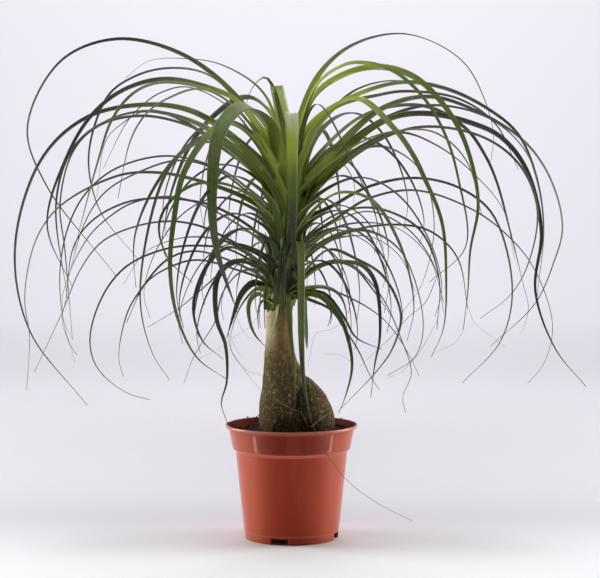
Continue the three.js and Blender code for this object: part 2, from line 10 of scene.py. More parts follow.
import bpy
import numpy as np
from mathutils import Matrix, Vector


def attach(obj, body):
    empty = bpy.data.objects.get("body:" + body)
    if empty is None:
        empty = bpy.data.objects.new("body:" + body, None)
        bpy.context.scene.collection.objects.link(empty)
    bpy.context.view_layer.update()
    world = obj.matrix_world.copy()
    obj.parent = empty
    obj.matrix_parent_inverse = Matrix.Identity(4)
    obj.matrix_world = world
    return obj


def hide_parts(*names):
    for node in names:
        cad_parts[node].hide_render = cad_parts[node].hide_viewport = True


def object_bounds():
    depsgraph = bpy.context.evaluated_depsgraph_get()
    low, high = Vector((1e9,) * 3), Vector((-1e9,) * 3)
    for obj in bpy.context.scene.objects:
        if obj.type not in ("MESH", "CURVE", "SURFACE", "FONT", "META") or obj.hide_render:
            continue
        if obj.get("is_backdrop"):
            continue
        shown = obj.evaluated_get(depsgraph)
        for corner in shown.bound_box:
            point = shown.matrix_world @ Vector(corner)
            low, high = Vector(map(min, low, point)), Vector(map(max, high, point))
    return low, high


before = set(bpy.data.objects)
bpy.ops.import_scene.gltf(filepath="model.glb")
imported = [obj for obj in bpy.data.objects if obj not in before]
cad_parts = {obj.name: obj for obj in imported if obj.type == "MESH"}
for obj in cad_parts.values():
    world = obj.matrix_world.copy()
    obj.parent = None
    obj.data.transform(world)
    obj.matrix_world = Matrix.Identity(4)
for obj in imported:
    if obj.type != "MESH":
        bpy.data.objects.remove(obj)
frame_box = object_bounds()

bl_info = {
    "name": "Potted Ponytail Palm",
    "version": (1, 0, 0),
    "blender": (4, 5, 0),
    "location": "3D View > Sidebar > Palm",
    "description": "A ponytail palm with arching leaves in a moulded plastic nursery pot",
    "category": "Add Mesh",
}


def shown(red, green, blue):
    """A colour given as 0 to 255 on the screen, as the linear light that shaders use."""
    screen = np.array([red, green, blue]) / 255
    linear = np.where(screen <= 0.04045, screen / 12.92, ((screen + 0.055) / 1.055) ** 2.4)
    return tuple(float(part) for part in linear)


MM = 0.001
FULL_TURN = 2 * np.pi

# Numbers that mix the bits of the repeatable noise
HASH_PRIMES = (73856093, 19349663, 83492791)
HASH_SEED = 2654435761
HASH_FACTOR = 1274126177
HASH_MASK = 0xFFFFFFFF
# How far a column of a table may pass its rows on the way between them
TABLE_SLACK = 0.3
# Points worked out on each span of a curve to space it evenly, and on each rounded corner
SPAN_POINTS = 40
CORNER_POINTS = 5

# Pot, outside and then inside, from the middle of the underside to the middle of the
# floor: corners of (radius, height, length of the rounding)
POT_CORNERS = [
    (2, 5, 0), (40, 5, 0.5), (40.3, 0, 0.4), (42.3, 0, 0.5), (42.9, 7.3, 0.3), (43.4, 8.1, 0.4),
    (51, 80, 0.9), (53.6, 82, 0.7), (57.2, 101, 0.7), (60, 101.2, 0.8), (60, 104, 1.1),
    (57, 104, 0.7), (55.9, 102.8, 0.8), (52.3, 83.3, 0.9), (49.7, 80.6, 0.9), (42, 6.3, 1.8),
    (2, 6.3, 0),
]
POT_STEP = 1.6
POT_TURNS = 300
POT_SHARP = 35
FOOT_RADIUS = POT_CORNERS[3][0]
COLLAR_RADIUS = POT_CORNERS[8][0]
COLLAR = (82.5, 100.5)
COLLAR_MIDDLE = sum(COLLAR) / 2
NOTCH_COUNT = 4
NOTCH_FIRST = -105
NOTCH_WIDTH = 16
NOTCH_TOP = 6.5
NOTCH_INNER = (40.4, 42.2)
# Degrees from each side of a notch to the rows of points in front of and behind it
NOTCH_SLIT = 0.03
FLOOR_UNDER = 5
LUG_COUNT = 5
LUG_FIRST = -124
LUG_WIDTH = 3.2
LUG_HEIGHT = 13
LUG_PROUD = 0.8
# How softly a lug ends, up and down, and at its sides as a share of its half width
LUG_END = 0.8
LUG_FLANK = 0.6
# Rows of points across a lug, in half widths
LUG_ROWS = (-1.2, -1, -0.8, -0.4, 0, 0.4, 0.8, 1, 1.2)
# Painted highlight on a lug: share of the highlight colour, half width and its ease in half
# widths of the lug, half height and its ease
LUG_HIGHLIGHT = 0.5
HIGHLIGHT_WIDTH = (1.5, 1.3)
HIGHLIGHT_HEIGHT = (8, 2)
# Paler edges, a painted highlight along the lip, the steps and the foot: (radius, height, how
# far it reaches, share of the highlight colour)
HIGHLIGHT_EDGES = [
    (60, 103.2, 1.9, 0.55), (53.4, 81.8, 1.1, 0.36), (51, 80, 0.9, 0.3), (42.7, 7.6, 0.9, 0.25),
]
HIGHLIGHT_CORE = 0.3
# Heights in metres: where the painted shade on the collar starts, and how far up the foot is dusty
COLLAR_SHADE_FROM = (0.079, 0.083)
DUST_TO = (0.016, 0)
# The collar's darker colours, seen straight on and at the sides: painted shade
COLLAR_SHADED_FRONT = shown(116, 20, 8)
COLLAR_SHADED_SIDE = shown(180, 77, 46)
FLOW_MARK = shown(206, 112, 76)
FOOT_DUST = shown(120, 76, 56)
# The inside is darker: painted shade with soil stains
INSIDE_SHADE_AND_STAIN = shown(46, 28, 24)

# Soil
SOIL_TOP = 97.5
# Waves of the lumpy top: (radians per mm across, and in depth, start, height)
SOIL_WAVES = [(0.21, 0.17, 1.3, 0.9), (0.24, -0.2, 0.2, 0.6), (0.47, -0.39, 0, 0.6)]
# Grain on top, in layers of (share of its height, size of the lumps, seed)
SOIL_GRAIN = [(1, 5, 11), (0.7, 2.2, 12), (0.45, 1.1, 13)]
# How far the soil is heaped against the trunk, and sinks at the wall: (height, reach)
SOIL_HEAP = (2.2, 7)
SOIL_SINK = (1.5, 4)
UNDER_BARK = 0.8
SOIL_EDGE = 54.5
SOIL_WALL = [(40.5, 6.8), (42.3, 8.6), (49.3, 80.2), (51.9, 83.7)]
SOIL_TURNS = 300
SOIL_RINGS = 64
# Power that sets the rings of the top closer to each other towards the wall
SOIL_SPACING = 0.9
HOLE_BOTTOM = 65.4
# The last ring of the soil's floor and of the hole's bottom, as a share of the one round it
FLOOR_RING = 0.5
HOLE_RING = 0.4
SOIL_DARK = shown(24, 18, 16)
# Loose crumbs: seeds of their places and shapes, share of the way from trunk to wall and the
# power that moves it outwards, smallest radius and what the largest gains, share of the radius
# that they lie out of the soil
CRUMB_SEEDS = (5, 7)
CRUMB_WAY = (0.03, 0.97)
CRUMB_OUTWARDS = 0.75
CRUMB_RADIUS = (0.45, 1.5)
CRUMB_LIFT = 0.35
# How far a crumb's corners and its three sides are drawn in or out
CRUMB_CORNERS = (0.65, 1.2)
CRUMB_SIDES = (0.7, 1.25)
# Loose crumbs away from the soil's top: (across, depth, height, radius)
STRAY_CRUMBS = [
    (-58.4, 4, 104.6, 1), (-41, 43, 104.7, 1.3), (-33, 48.5, 104.6, 0.9), (-29.4, -6, 112.6, 1.2),
    (46, 35, 104.5, 0.8),
]

# Trunk: rings of (height, middle across, half width across, half depth)
STEM_RINGS = [
    (66, -3.5, 9, 9), (68, -3.5, 18.5, 18), (76, -3.5, 23.5, 24), (88, -3.5, 25.5, 26),
    (100, -4, 26, 26.5), (112, -5.7, 24.6, 25), (124, -7.7, 21.7, 22.5), (136, -7.5, 19.5, 19.5),
    (146, -6.9, 19.1, 17), (154, -7.7, 17.4, 15), (161, -9.4, 15.3, 13.8), (168, -10.6, 14.1, 13),
    (174, -10.8, 13.2, 12.6), (187, -11.3, 12, 12), (205.7, -11.3, 12.2, 12), (214, -11, 9, 9),
]
LOBE_RINGS = [
    (70, 16, 6, 6), (72, 16, 12, 13), (80, 17, 16.5, 19), (92, 18, 20.5, 23),
    (104, 18.5, 21, 24), (113, 18, 20.2, 23), (122, 16.8, 18.9, 20.5), (132, 14.3, 15.8, 16),
    (140, 12.3, 10.6, 11), (146, 10.5, 6, 6), (149, 9.5, 2, 2),
]
# The point inside the trunk that its outline is measured from: (height, across)
TRUNK_CENTRES = [(66, 4), (72, 6), (140, 6), (149, 8), (158, -4), (168, -10.6), (214, -11)]
# The pit in the fold beside the lobe, darkened with painted shade: middle across, height, half
# width, half height, depth
FOLD_PIT = (6, 126, 9, 12, 1.3)
# Its outline wanders by noise of (share, size, seed), and it deepens between these shares
PIT_WANDER = (0.35, 5, 7)
PIT_EASE = (1.4, 0.2)
# Width of the fold between stem and lobe: at the top, what it gains, and between which heights
FOLD_WIDTH = (1.5, 5)
FOLD_LEVELS = (112, 84)
TRUNK_TURNS = 320
TRUNK_ROWS = 250
# Lumps and cracks of the bark, in layers of noise of (share, size, seed)
LUMP_LAYERS = [(0.7, 14, 1), (0.35, 6, 2)]
CRACK_LAYERS = [(1, 2.1, 3), (0.6, 1.2, 4)]
CRACK_STRETCH = (1, 1, 0.8)
CRACK_SHARPNESS = 2.6
# They fade up the stem: height and share above it, height of the full relief
LUMP_FADE = (186, 0.4, 150)
CRACK_FADE = (178, 0.35, 140)
# Leaf scars: rings this far apart, which wander and fade by noise of (share, size, seed), and
# the heights between which they set in
SCAR_SPACING = 2.3
SCAR_WANDER = (2.5, 9, 5)
SCAR_PATCHES = (0.4, 4, 6)
SCAR_LEVELS = (158, 172)
# Shares of dark colour: the cracks' own with painted shade in the cracks and scars, and painted
# shade in the fold between two heights and in the pit
CRACK_DARK_AND_SHADE = 0.75
SCAR_DARK_AND_SHADE = 0.35
FOLD_SHADE = 0.55
FOLD_SHADE_LEVELS = (100, 118)
PIT_SHADE = 0.5
# Where the bark's finish changes, in metres: mottling from and to, the browner stem, the pale
# young bark, which is only on the left side, where it is painted light, the soiled foot, and the
# last cracks
MOTTLED_FROM = (0.1, 0.125)
MOTTLED_TO = (0.21, 0.175)
STEM_LEVELS = (0.152, 0.19)
YOUNG_LEVELS = (0.17, 0.21)
PALE_LIT_SIDE = (-0.004, -0.013)
SOILED_LEVELS = (0.116, 0.096)
CRACKED_TO = (0.19, 0.15)
BARK_SPECKS = shown(176, 162, 106)
STEM_BROWN = shown(156, 120, 68)
BARK_SOIL = shown(80, 60, 42)

# Crown: the core of packed leaf bases, rings of (height, middle across, radius)
CORE_RINGS = [
    (206, -11.3, 12), (211, -11.1, 12.8), (222, -10, 13.6), (240, -7, 14), (262, -4, 13),
    (286, -1.6, 11.5), (310, 0, 10), (332, 0.4, 7.5), (346, 0.5, 4), (350, 0.5, 1.2),
]
CORE_TURNS = 96
CORE_ROWS = 90
CORE_FILL = 0.93
# Its grooves: (number round the core, radians per mm up, depth as a share of the radius)
CORE_GROOVES = [(13, 0.05, 0.05), (5, -0.2, 0.03)]
CORE_DRY = (234, 220)
CORE_AGE = 0.6
CORE_TONE = 0.6
LOWEST_ROOT = 214
HIGHEST_ROOT = 336
ROOT_DEPTH = 3
STEEPEST = 2.4

# The knots of the leaves below were read in the upright plane through the pot's axis.
# A leaf that comes forward is nearer to the eye, which was this far away, to the right and up.
EYE_DISTANCE = 1750
EYE_SIDE = 7.7
EYE_HEIGHT = 335
LOOK_HEIGHT = 227

# Stage in metres: half the floor's width, where it ends in front, where it starts to bend up
# behind, the radius of the bend, and the top of the wall
FLOOR_HALF = 5
FLOOR_FRONT = -3
FLOOR_BACK = 2.6
BEND = 2.0
BEND_POINTS = 24
WALL_TOP = 5
# Depths in metres between which the backdrop turns into the floor, darkened as painted shade
# that evens out the light on it, and that into its front, paler with painted light over the
# plant's shadow
SHADED_FLOOR_DEPTHS = (1.3, 0.5)
LIT_FRONT_DEPTHS = (0.12, -0.12)
# What the camera sees past the floor, and its share of the light on everything else
STUDIO = shown(234, 231, 238)
STUDIO_LIGHT = 0.02
# Soft boxes: (name, place, point they face, width and height, spread, share of the power). The
# one over the viewer has a narrow grid, so that it lights the crown alone.
SOFT_BOXES = [
    ("crown_box", (0, -1.6, 1.3), (0, 0, 0.37), (0.5, 0.1), 18, 0.006),
    ("top_box", (0, 0, 2.6), (0, 0, 0), (2.4, 1.4), 180, 1.06),
    ("left_box", (-1.2, 0.3, 0.5), (0, 0, 0.2), (0.75, 1.0), 180, 0.66),
    ("right_box", (1.2, 0.3, 0.5), (0, 0, 0.2), (0.75, 1.0), 180, 0.6),
    ("wall_box", (0, 2.6, 3.8), (0, 4.6, 1.4), (4.0, 0.8), 180, 6.2),
]
SENSOR_WIDTH = 36
CLIP_START = 0.05

# Leaves read one by one, in groups: (forward for each mm sideways, width, roll of the face
# in degrees, then sideways and height of each knot from the crown to the tip)
READ_LEAVES = {
    "leaves_high_left": [
        (-0.2, 7.5, 40, [(-18, 345), (-52, 402), (-100, 439), (-158, 452), (-208, 432),
            (-238, 373), (-222, 322), (-159, 239)]),
        (-0.1, 8.5, 45, [(-18, 325), (-57, 366), (-90, 387), (-130, 393), (-184, 382), (-225, 345),
            (-250, 266), (-238, 190), (-186, 121)]),
        (-0.9, 8, -35, [(-18, 345), (-50, 398), (-75, 420), (-108, 426), (-140, 419), (-166, 400),
            (-183, 347), (-174, 300), (-140, 255)]),
        (0.45, 9.5, 55, [(-15, 345), (-49, 395), (-72, 407), (-113, 416), (-150, 407), (-179, 385),
            (-203, 346), (-221, 285), (-199, 229)]),
        (0.8, 9.5, 40, [(-16, 340), (-60, 398), (-113, 413), (-140, 405), (-161, 381), (-175, 341),
            (-187, 299), (-197, 262)]),
        (-0.5, 10.5, 35, [(-22, 320), (-60, 359), (-86, 376), (-132, 387), (-172, 376),
            (-197, 351), (-209, 305), (-205, 262), (-199, 181)]),
        (-0.62, 8, -30, [(-22, 316), (-60, 354), (-88, 372), (-134, 383), (-175, 374), (-201, 348),
            (-213, 303), (-203, 217)]),
        (-1.0, 6.5, 25, [(-20, 318), (-70, 360), (-105, 382), (-130, 388), (-152, 377),
            (-168, 360), (-176, 310)]),
        (-1.05, 6, -35, [(-18, 330), (-50, 385), (-92, 409), (-118, 404), (-133, 394), (-149, 377),
            (-170, 336)]),
        (1.2, 6.5, 35, [(-18, 335), (-45, 385), (-80, 407), (-111, 399), (-131, 385), (-145, 362),
            (-157, 309)]),
        (-1.2, 3, 20, [(-8, 345), (-22, 399), (-60, 428), (-100, 435), (-130, 432), (-150, 417)]),
        (-1.3, 12, -40, [(-6, 345), (-17, 381), (-30, 396), (-43, 399), (-60, 391), (-88, 362),
            (-108, 316), (-118, 268)]),
    ],
    "leaves_near_left": [
        (1.3, 10.5, 30, [(-13, 318), (-38, 365), (-58, 376), (-73, 368), (-98, 330), (-106, 292),
            (-110, 247), (-104, 203), (-87, 166), (-58, 144)]),
        (1.0, 10.5, 35, [(-16, 322), (-50, 362), (-78, 364), (-103, 346), (-127, 313), (-141, 278),
            (-143, 256), (-141, 228)]),
        (1.1, 7, 30, [(-15, 310), (-50, 352), (-85, 358), (-111, 335), (-129, 283), (-137, 215),
            (-127, 170), (-111, 144)]),
        (0.7, 6.5, 30, [(-18, 290), (-50, 318), (-85, 322), (-109, 307), (-120, 285), (-112, 255),
            (-90, 233)]),
    ],
    "leaves_middle_left": [
        (-0.15, 8, 25, [(-20, 291), (-44, 309), (-94, 327), (-125, 332), (-157, 329), (-209, 302),
            (-231, 272), (-242, 219), (-238, 185), (-241, 135)]),
        (-0.45, 6.5, -30, [(-20, 297), (-43, 320), (-65, 335), (-112, 347), (-160, 335),
            (-187, 312), (-203, 280), (-210, 238), (-206, 192), (-200, 174), (-195, 167)]),
        (0.5, 6, 35, [(-18, 285), (-60, 330), (-100, 343), (-139, 332), (-169, 314), (-187, 287),
            (-203, 235)]),
        (0.35, 6.5, 30, [(-25, 270), (-67, 300), (-94, 307), (-120, 309), (-150, 305), (-180, 289),
            (-197, 266), (-205, 215)]),
        (-0.6, 6.5, -30, [(-22, 262), (-60, 292), (-105, 310), (-143, 305), (-165, 292),
            (-183, 275), (-199, 247), (-208, 221)]),
        (0.15, 5.5, 30, [(-22, 250), (-53, 269), (-81, 283), (-108, 288), (-139, 284), (-171, 270),
            (-191, 245), (-208, 206), (-234, 151)]),
    ],
    "leaves_low_left": [
        (-1.2, 5.5, 30, [(-25, 245), (-55, 268), (-90, 274), (-118, 268), (-135, 258),
            (-152, 232)]),
        (0.4, 4.5, 30, [(-25, 240), (-53, 261), (-88, 266), (-118, 262), (-150, 247), (-171, 221),
            (-183, 182), (-177, 156), (-151, 133), (-129, 126)]),
        (-0.7, 6.5, -35, [(-25, 235), (-53, 251), (-88, 261), (-113, 253), (-136, 227),
            (-149, 205), (-157, 165), (-153, 147)]),
        (1.1, 6, 30, [(-22, 232), (-50, 244), (-85, 253), (-107, 248), (-132, 232), (-150, 196)]),
        (1.3, 8, 25, [(-22, 240), (-40, 258), (-58, 264), (-77, 247), (-89, 212), (-82, 182),
            (-62, 163)]),
        (0.9, 9, 35, [(-20, 232), (-40, 250), (-55, 250), (-67, 237), (-68, 200), (-60, 176),
            (-59, 142), (-64, 123), (-59, 106)]),
        (1.6, 8, 40, [(-20, 215), (-32, 222), (-39, 214), (-38, 197), (-33, 185), (-24, 175)]),
        (0.9, 11, 45, [(-20, 225), (-35, 232), (-46, 222), (-52, 206), (-59, 182)]),
        (1.4, 10, -40, [(-18, 222), (-32, 226), (-44, 214), (-51, 200), (-56, 183)]),
        (0.5, 5, 20, [(-18, 214), (-26, 216), (-30, 206), (-30, 190)]),
        (0.2, 5, 30, [(-24, 246), (-50, 250), (-82, 226), (-100, 211), (-131, 192)]),
        (-1.0, 6, 30, [(-20, 238), (-44, 243), (-62, 224), (-69, 198), (-80, 180), (-90, 163),
            (-98, 141)]),
    ],
    "leaf_curl": [
        (-0.8, 5, 35, [(-4, 350), (-10, 385), (-17, 410), (-24, 418), (-35, 409), (-41, 393),
            (-43, 372)]),
    ],
    "leaves_high_right": [
        (-0.8, 7.5, 35, [(4, 345), (20, 411), (49, 443), (96, 457), (133, 447), (161, 424),
            (182, 370), (180, 342)]),
        (0.75, 6.5, 50, [(5, 345), (22, 409), (46, 428), (63, 431), (91, 424), (118, 401),
            (139, 366), (151, 326), (158, 266), (125, 233)]),
        (0.6, 10, 55, [(7, 345), (20, 398), (46, 419), (78, 427), (111, 418), (139, 391),
            (157, 359), (169, 305), (162, 262), (160, 225), (156, 190)]),
        (-1.15, 4, 30, [(5, 345), (34, 385), (57, 406), (95, 415), (130, 405), (152, 372)]),
        (0.3, 10, 40, [(10, 352), (20, 375), (45, 394), (80, 409), (107, 413), (143, 406),
            (179, 388), (204, 367), (220, 332), (228, 285), (223, 221)]),
        (-0.7, 9, -30, [(8, 345), (36, 387), (81, 402), (105, 405), (152, 398), (185, 375),
            (205, 335)]),
        (-0.25, 10.5, 35, [(12, 312), (35, 345), (80, 388), (123, 400), (165, 388), (210, 360),
            (234, 326), (245, 283), (237, 250), (221, 214), (181, 175)]),
        (0.25, 10.5, 50, [(10, 300), (25, 320), (59, 360), (91, 381), (122, 385), (161, 377),
            (189, 364), (212, 335), (226, 280), (221, 225), (240, 172), (268, 138)]),
        (-0.4, 8, 30, [(12, 305), (60, 365), (120, 392), (180, 380), (215, 345), (228, 285),
            (223, 221)]),
        (0.45, 8.5, 40, [(10, 295), (55, 345), (110, 372), (170, 365), (205, 340), (222, 300),
            (215, 252), (199, 222), (171, 200)]),
        (1.2, 10.5, 40, [(8, 330), (30, 380), (60, 398), (92, 372), (109, 349), (120, 327),
            (136, 287), (140, 238), (138, 192), (127, 165)]),
        (-1.4, 8, 30, [(8, 305), (45, 345), (85, 355), (119, 330), (129, 282), (118, 231),
            (100, 205)]),
        (-0.65, 9.5, -35, [(8, 320), (60, 380), (118, 392), (157, 372), (174, 349), (185, 325),
            (199, 275), (212, 224)]),
        (1.0, 8, 35, [(8, 310), (60, 358), (108, 371), (134, 366), (159, 341), (172, 295)]),
        (-0.5, 8, 30, [(8, 298), (30, 325), (57, 351), (97, 368), (134, 355), (168, 328),
            (192, 298), (202, 255)]),
    ],
    "leaves_middle_right": [
        (0.3, 7, 30, [(10, 285), (37, 301), (70, 319), (112, 327), (152, 318), (182, 294),
            (200, 228), (190, 180), (155, 141)]),
        (0.1, 6.5, 30, [(12, 268), (41, 290), (69, 308), (112, 316), (165, 298), (199, 272),
            (220, 245), (237, 195), (230, 160), (215, 141)]),
        (1.1, 5.5, 30, [(12, 270), (31, 289), (60, 300), (91, 296), (119, 277), (134, 235),
            (132, 190)]),
        (-1.2, 5.5, -30, [(10, 266), (40, 288), (69, 297), (97, 287), (116, 270), (132, 241),
            (138, 205)]),
        (-1.0, 5, 30, [(10, 262), (40, 282), (68, 287), (98, 281), (125, 255), (138, 215)]),
        (0.8, 5.5, 30, [(15, 258), (54, 279), (98, 285), (128, 278), (151, 254), (160, 209)]),
        (1.4, 5, -30, [(14, 262), (39, 280), (58, 275), (75, 263), (88, 235), (84, 205)]),
        (-1.5, 5, 30, [(10, 252), (30, 268), (55, 275), (78, 272), (100, 254), (112, 225)]),
        (1.5, 8, 35, [(12, 285), (34, 310), (52, 314), (75, 305), (92, 280), (105, 247),
            (111, 208), (105, 180)]),
    ],
    "leaves_low_right": [
        (0.9, 7, 30, [(15, 245), (33, 262), (58, 254), (84, 237), (99, 203), (92, 174), (78, 153),
            (45, 118)]),
        (-0.9, 5.5, -30, [(12, 240), (40, 251), (58, 245), (71, 230), (91, 202)]),
        (1.2, 8.5, 30, [(12, 236), (30, 248), (49, 251), (66, 247), (76, 233), (80, 210),
            (80, 180), (76, 160), (72, 128)]),
        (-0.5, 7, 30, [(12, 222), (22, 228), (50, 220), (85, 198), (108, 165), (116, 148)]),
        (1.1, 7.5, 40, [(10, 222), (29, 218), (45, 199), (53, 175), (55, 155), (49, 129),
            (43, 114)]),
        (0.6, 6.5, 30, [(10, 224), (30, 222), (48, 200), (58, 183), (82, 172)]),
        (1.5, 7, 35, [(8, 226), (32, 228), (45, 220), (50, 205), (50, 188)]),
        (0.3, 7.5, -30, [(10, 219), (35, 208), (48, 190), (60, 172), (71, 149), (80, 135)]),
        (-0.9, 8, 30, [(12, 255), (60, 280), (98, 262), (117, 215), (119, 185), (112, 165),
            (87, 148)]),
        (-0.6, 5.5, 30, [(12, 240), (46, 252), (80, 222), (100, 180), (109, 150), (101, 128),
            (104, 114)]),
        (0.7, 5.5, 30, [(8, 219), (24, 220), (36, 207), (33, 193)]),
    ],
}

# Leaves that face the viewer: (width, roll, age at the base and the tip, power of the taper,
# then across, depth and height of each knot). A power of 40 leaves the end as cut.
FACING_LEAVES = [
    (15.5, -25, (0.15, 0.98), 1.7, [(-2.5, -5, 320), (-10, -17, 330), (-17.5, -30, 372.5),
        (-31, -52, 387.5), (-44, -78, 388.5), (-58, -105, 372.5), (-63.5, -116, 354.5),
        (-66.5, -119, 306), (-63, -105.5, 266.5), (-47, -61, 209.5)]),
    # This upright leaf starts far below the age of 0, so that a painted sheen covers it up to its
    # crest
    (10.4, 0, (-2.6, 1.6), 5, [(0, -6, 290), (0.6, -16, 345), (0.6, -33, 378), (0.6, -46, 385),
        (0.6, -56, 375), (0.8, -61, 335), (1, -59, 296), (2, -54, 268), (3, -48, 246)]),
    (7.5, 0, (0.5, 0.85), 3.5, [(1, -9, 250), (5, -34, 270), (8, -59, 267), (8.5, -66, 240),
        (8.5, -68, 200), (10, -68, 160), (13, -67, 135), (17.6, -67, 116)]),
    (1.8, 0, (1.0, 1.2), 3, [(9, -68, 180), (11, -68, 150), (13, -67, 135), (17.6, -67, 116),
        (25, -71, 98), (47, -74, 66), (73, -70, 45), (107, -63, 26)]),
    (5.5, 0, (0.55, 0.85), 1.5, [(-8, -9, 222), (-4, -20, 226), (-2, -25, 205), (0, -31, 180),
        (3, -41, 150), (3, -48, 120)]),
    (4, 0, (0.3, 0.6), 1.7, [(-10, -10, 216), (-12, -17, 213), (-13.5, -18, 203), (-17, -18, 190),
        (-20, -18, 176)]),
    (3.5, 0, (0.6, 1.2), 1.7, [(2, -6, 325), (12, -24, 375), (21, -47, 392), (31, -75, 384),
        (50, -104, 345), (70, -120, 300), (78, -122, 268)]),
    (5, 0, (0.6, 1.2), 1.7, [(4, -6, 300), (24, -18, 332), (44, -28, 341), (56, -33, 322),
        (55, -35, 306)]),
    # This cut upright leaf is young enough to take part of the painted sheen
    (12, 135, (-0.05, -0.2), 40, [(-2, 3, 330), (-7, 9, 372), (-14, 15, 411)]),
    (5.5, 0, (0.6, 0.8), 7, [(2, -8, 224), (10, -19, 226), (12, -25, 205), (14, -30, 175)]),
]

# Hair-thin tips and stray fibres, read in the upright plane like the leaves: (width, age at both
# ends, then across, depth and height of each knot, the depth being the real one)
THREADS = [
    (0.9, 1.1, [(-208, 118, 222), (-207.5, 118, 202), (-204, 117, 191), (-199.5, 116, 182)]),
    (0.8, 1.1, [(-205, -69, 216), (-208.5, -69, 198), (-204, -68, 183), (-199, -66, 169),
        (-197, -65, 160)]),
    (0.7, 0.9, [(-30, -10, 203), (-38, -12, 193), (-54, -14, 182), (-66, -14, 173),
        (-85, -12, 163)]),
    (0.9, 1.1, [(-57, -41, 187), (-56, -40, 174), (-47, -36, 159), (-38, -32, 147),
        (-28, -24, 135)]),
    (0.8, 0.3, [(-55, -40, 181), (-54, -41, 169), (-42, -42, 154), (-33, -38, 150),
        (-24, -30, 148), (-10, -24, 148), (-3, -23, 145), (10, -20, 139)]),
    (0.6, 1.0, [(-55, -40, 184), (-50, -39, 172), (-46, -39, 166)]),
    (0.6, 1.0, [(-50, -36, 202), (-44, -34, 189), (-38, -32, 182)]),
    (0.9, -0.9, [(-15, -25, 128), (-12, -27, 125), (0, -26.5, 117.5), (8, -27, 115),
        (15, -29, 101)]),
    (0.9, -0.9, [(18, -29, 101), (26, -26, 108), (34, -17, 113), (39, -6, 112)]),
    (1.3, 1.1, [(49, -36, 200), (44, -35, 195), (39, -34, 192), (31, -32, 189), (23, -31, 188),
        (19, -31, 178), (17, -31, 167), (15, -31, 156)]),
    (0.8, 1.0, [(54, -72, 161), (46, -72, 166), (38, -72, 167.5), (30, -72, 168)]),
    (1.5, 1.1, [(131, 165, 236), (121, 160, 214), (109, 155, 204), (101, 150, 196), (92, 145, 185),
        (83, 140, 176), (71, 136, 165), (62, 132, 156)]),
    (1.2, 1.1, [(133, -155, 200), (125.5, -153, 185.5), (116, -150, 169), (107, -148, 158),
        (96, -146, 149), (86, -144, 146)]),
    (1.0, 1.1, [(156.5, -98, 193), (154, -98, 186), (148, -97, 178), (134, -96, 171),
        (127, -96, 168)]),
    (0.8, 1.1, [(161, -99, 209), (165, -99, 198), (171, -99, 192), (180, -99, 185),
        (189, -98, 178), (195, -98, 174)]),
    (0.8, 1.1, [(212, 143, 225), (215, 142, 210), (212, 141, 195), (208, 140, 185)]),
]
THREAD_SEED = 41
THREAD_TIP = 0.3
THREAD_THICKNESS = 0.35
THREAD_DRYNESS = 0.4

# Fill leaves that follow one rule: (from turn, to turn, count, lowest level, highest level,
# share of the full reach, share of the full droop), with turns in degrees and -90 at the viewer
FILL_RUNS = {
    "leaves_back": [(38, 142, 32, 0.0, 1.0, 0.8, 0.62)],
    "leaves_front": [
        (-114, -66, 5, 0, 0.25, 0.5, 0.6),
        (-66, -40, 6, 0.05, 0.6, 1.0, 0.8),
        (-140, -114, 6, 0.05, 0.6, 1.0, 0.8),
    ],
}
# A fill leaf's outline: (share of the reach, share of the rise, share of the droop)
FILL_OUTLINE = np.array([
    (0, 0, 0), (0.12, 0.5, 0), (0.3, 0.87, 0), (0.52, 1, 0),
    (0.76, 1, 0.16), (0.94, 1, 0.5), (1, 1, 0.8), (0.96, 1, 1),
])
GOLDEN = 0.618034
FILL_ROOT = (218, 96)
FILL_RISE = (24, 56)
FILL_REACH = (110, 132)
FILL_DROP = (92, 88)
FILL_WIDTH = (5, 4.5)
FILL_AGE = (0.9, -0.7)
FILL_TIP_AGE = 1.4
DRAW_JITTER = 0.08
DRAW_TWIST = 40
DRAW_START = 20317
DRAW_FACTOR = 1664525
DRAW_STEP = 1013904223
DRAW_RANGE = 2**32
# A leaf's taper as a power of the share of its length: a cut leaf hardly narrows
CUT_POWER = 40
# From this power on a leaf ends bluntly and isn't dry at its end
BLUNT_POWER = 5

# The ring of a leaf: (share of the half width, share of the thickness below the face)
LEAF_RING = np.array([
    (1, 0), (0.7, 0), (0.35, 0), (0, 0), (-0.35, 0), (-0.7, 0), (-1, 0),
    (-0.75, 0.6), (-0.38, 0.9), (0, 1), (0.38, 0.9), (0.75, 0.6),
])
RING_ACROSS, RING_BELOW = LEAF_RING.T
LEAF_STEP = 6
LEAF_STEPS = (12, 100)
# The finish counts the length of a leaf in decimetres
ALONG_SCALE = 0.01
LEAF_SEED = 17
LEAF_FINISH = "strap_leaf"
# Pale colour below the age of 0: a painted sheen of light on the waxy blade
PAINTED_SHEEN_PALE = shown(204, 216, 180)
VEIN_GROOVE = shown(46, 54, 26)
LEAF_BACK = shown(66, 76, 54)
LEAF_SHADE = shown(40, 46, 25)
# Power of the rise from a leaf's middle to its margins, and what its channel gains at the base
CHANNEL_POWER = 1.5
BASE_CHANNEL = 0.6
# Share of the thickness that the narrowest leaf keeps, and the half width that has all of it
THIN_SHARE = 0.45
THICK_HALF = 3
# A dry tip: share of the length where it starts, how much sooner it does so on a leaf of full
# tone, share past the end where it would be all dry, and how dry it looks
DRY_FROM = 0.93
DRY_SOONER = 0.12
DRY_TO = 1.02
DRY_SHARE = 0.85
# The youngest height, the stretch below it over which leaf bases age, and their curve of age:
# its power, what it gains, where it starts, and what the right side is younger by
AGE_TOP = 338
AGE_DEPTH = 110
AGE_CURVE = 0.7
AGE_GAIN = 0.85
AGE_START = 0.1
AGE_SIDE = 0.06
# The base that clasps the core is younger by this much
BASE_YOUTH = 0.15
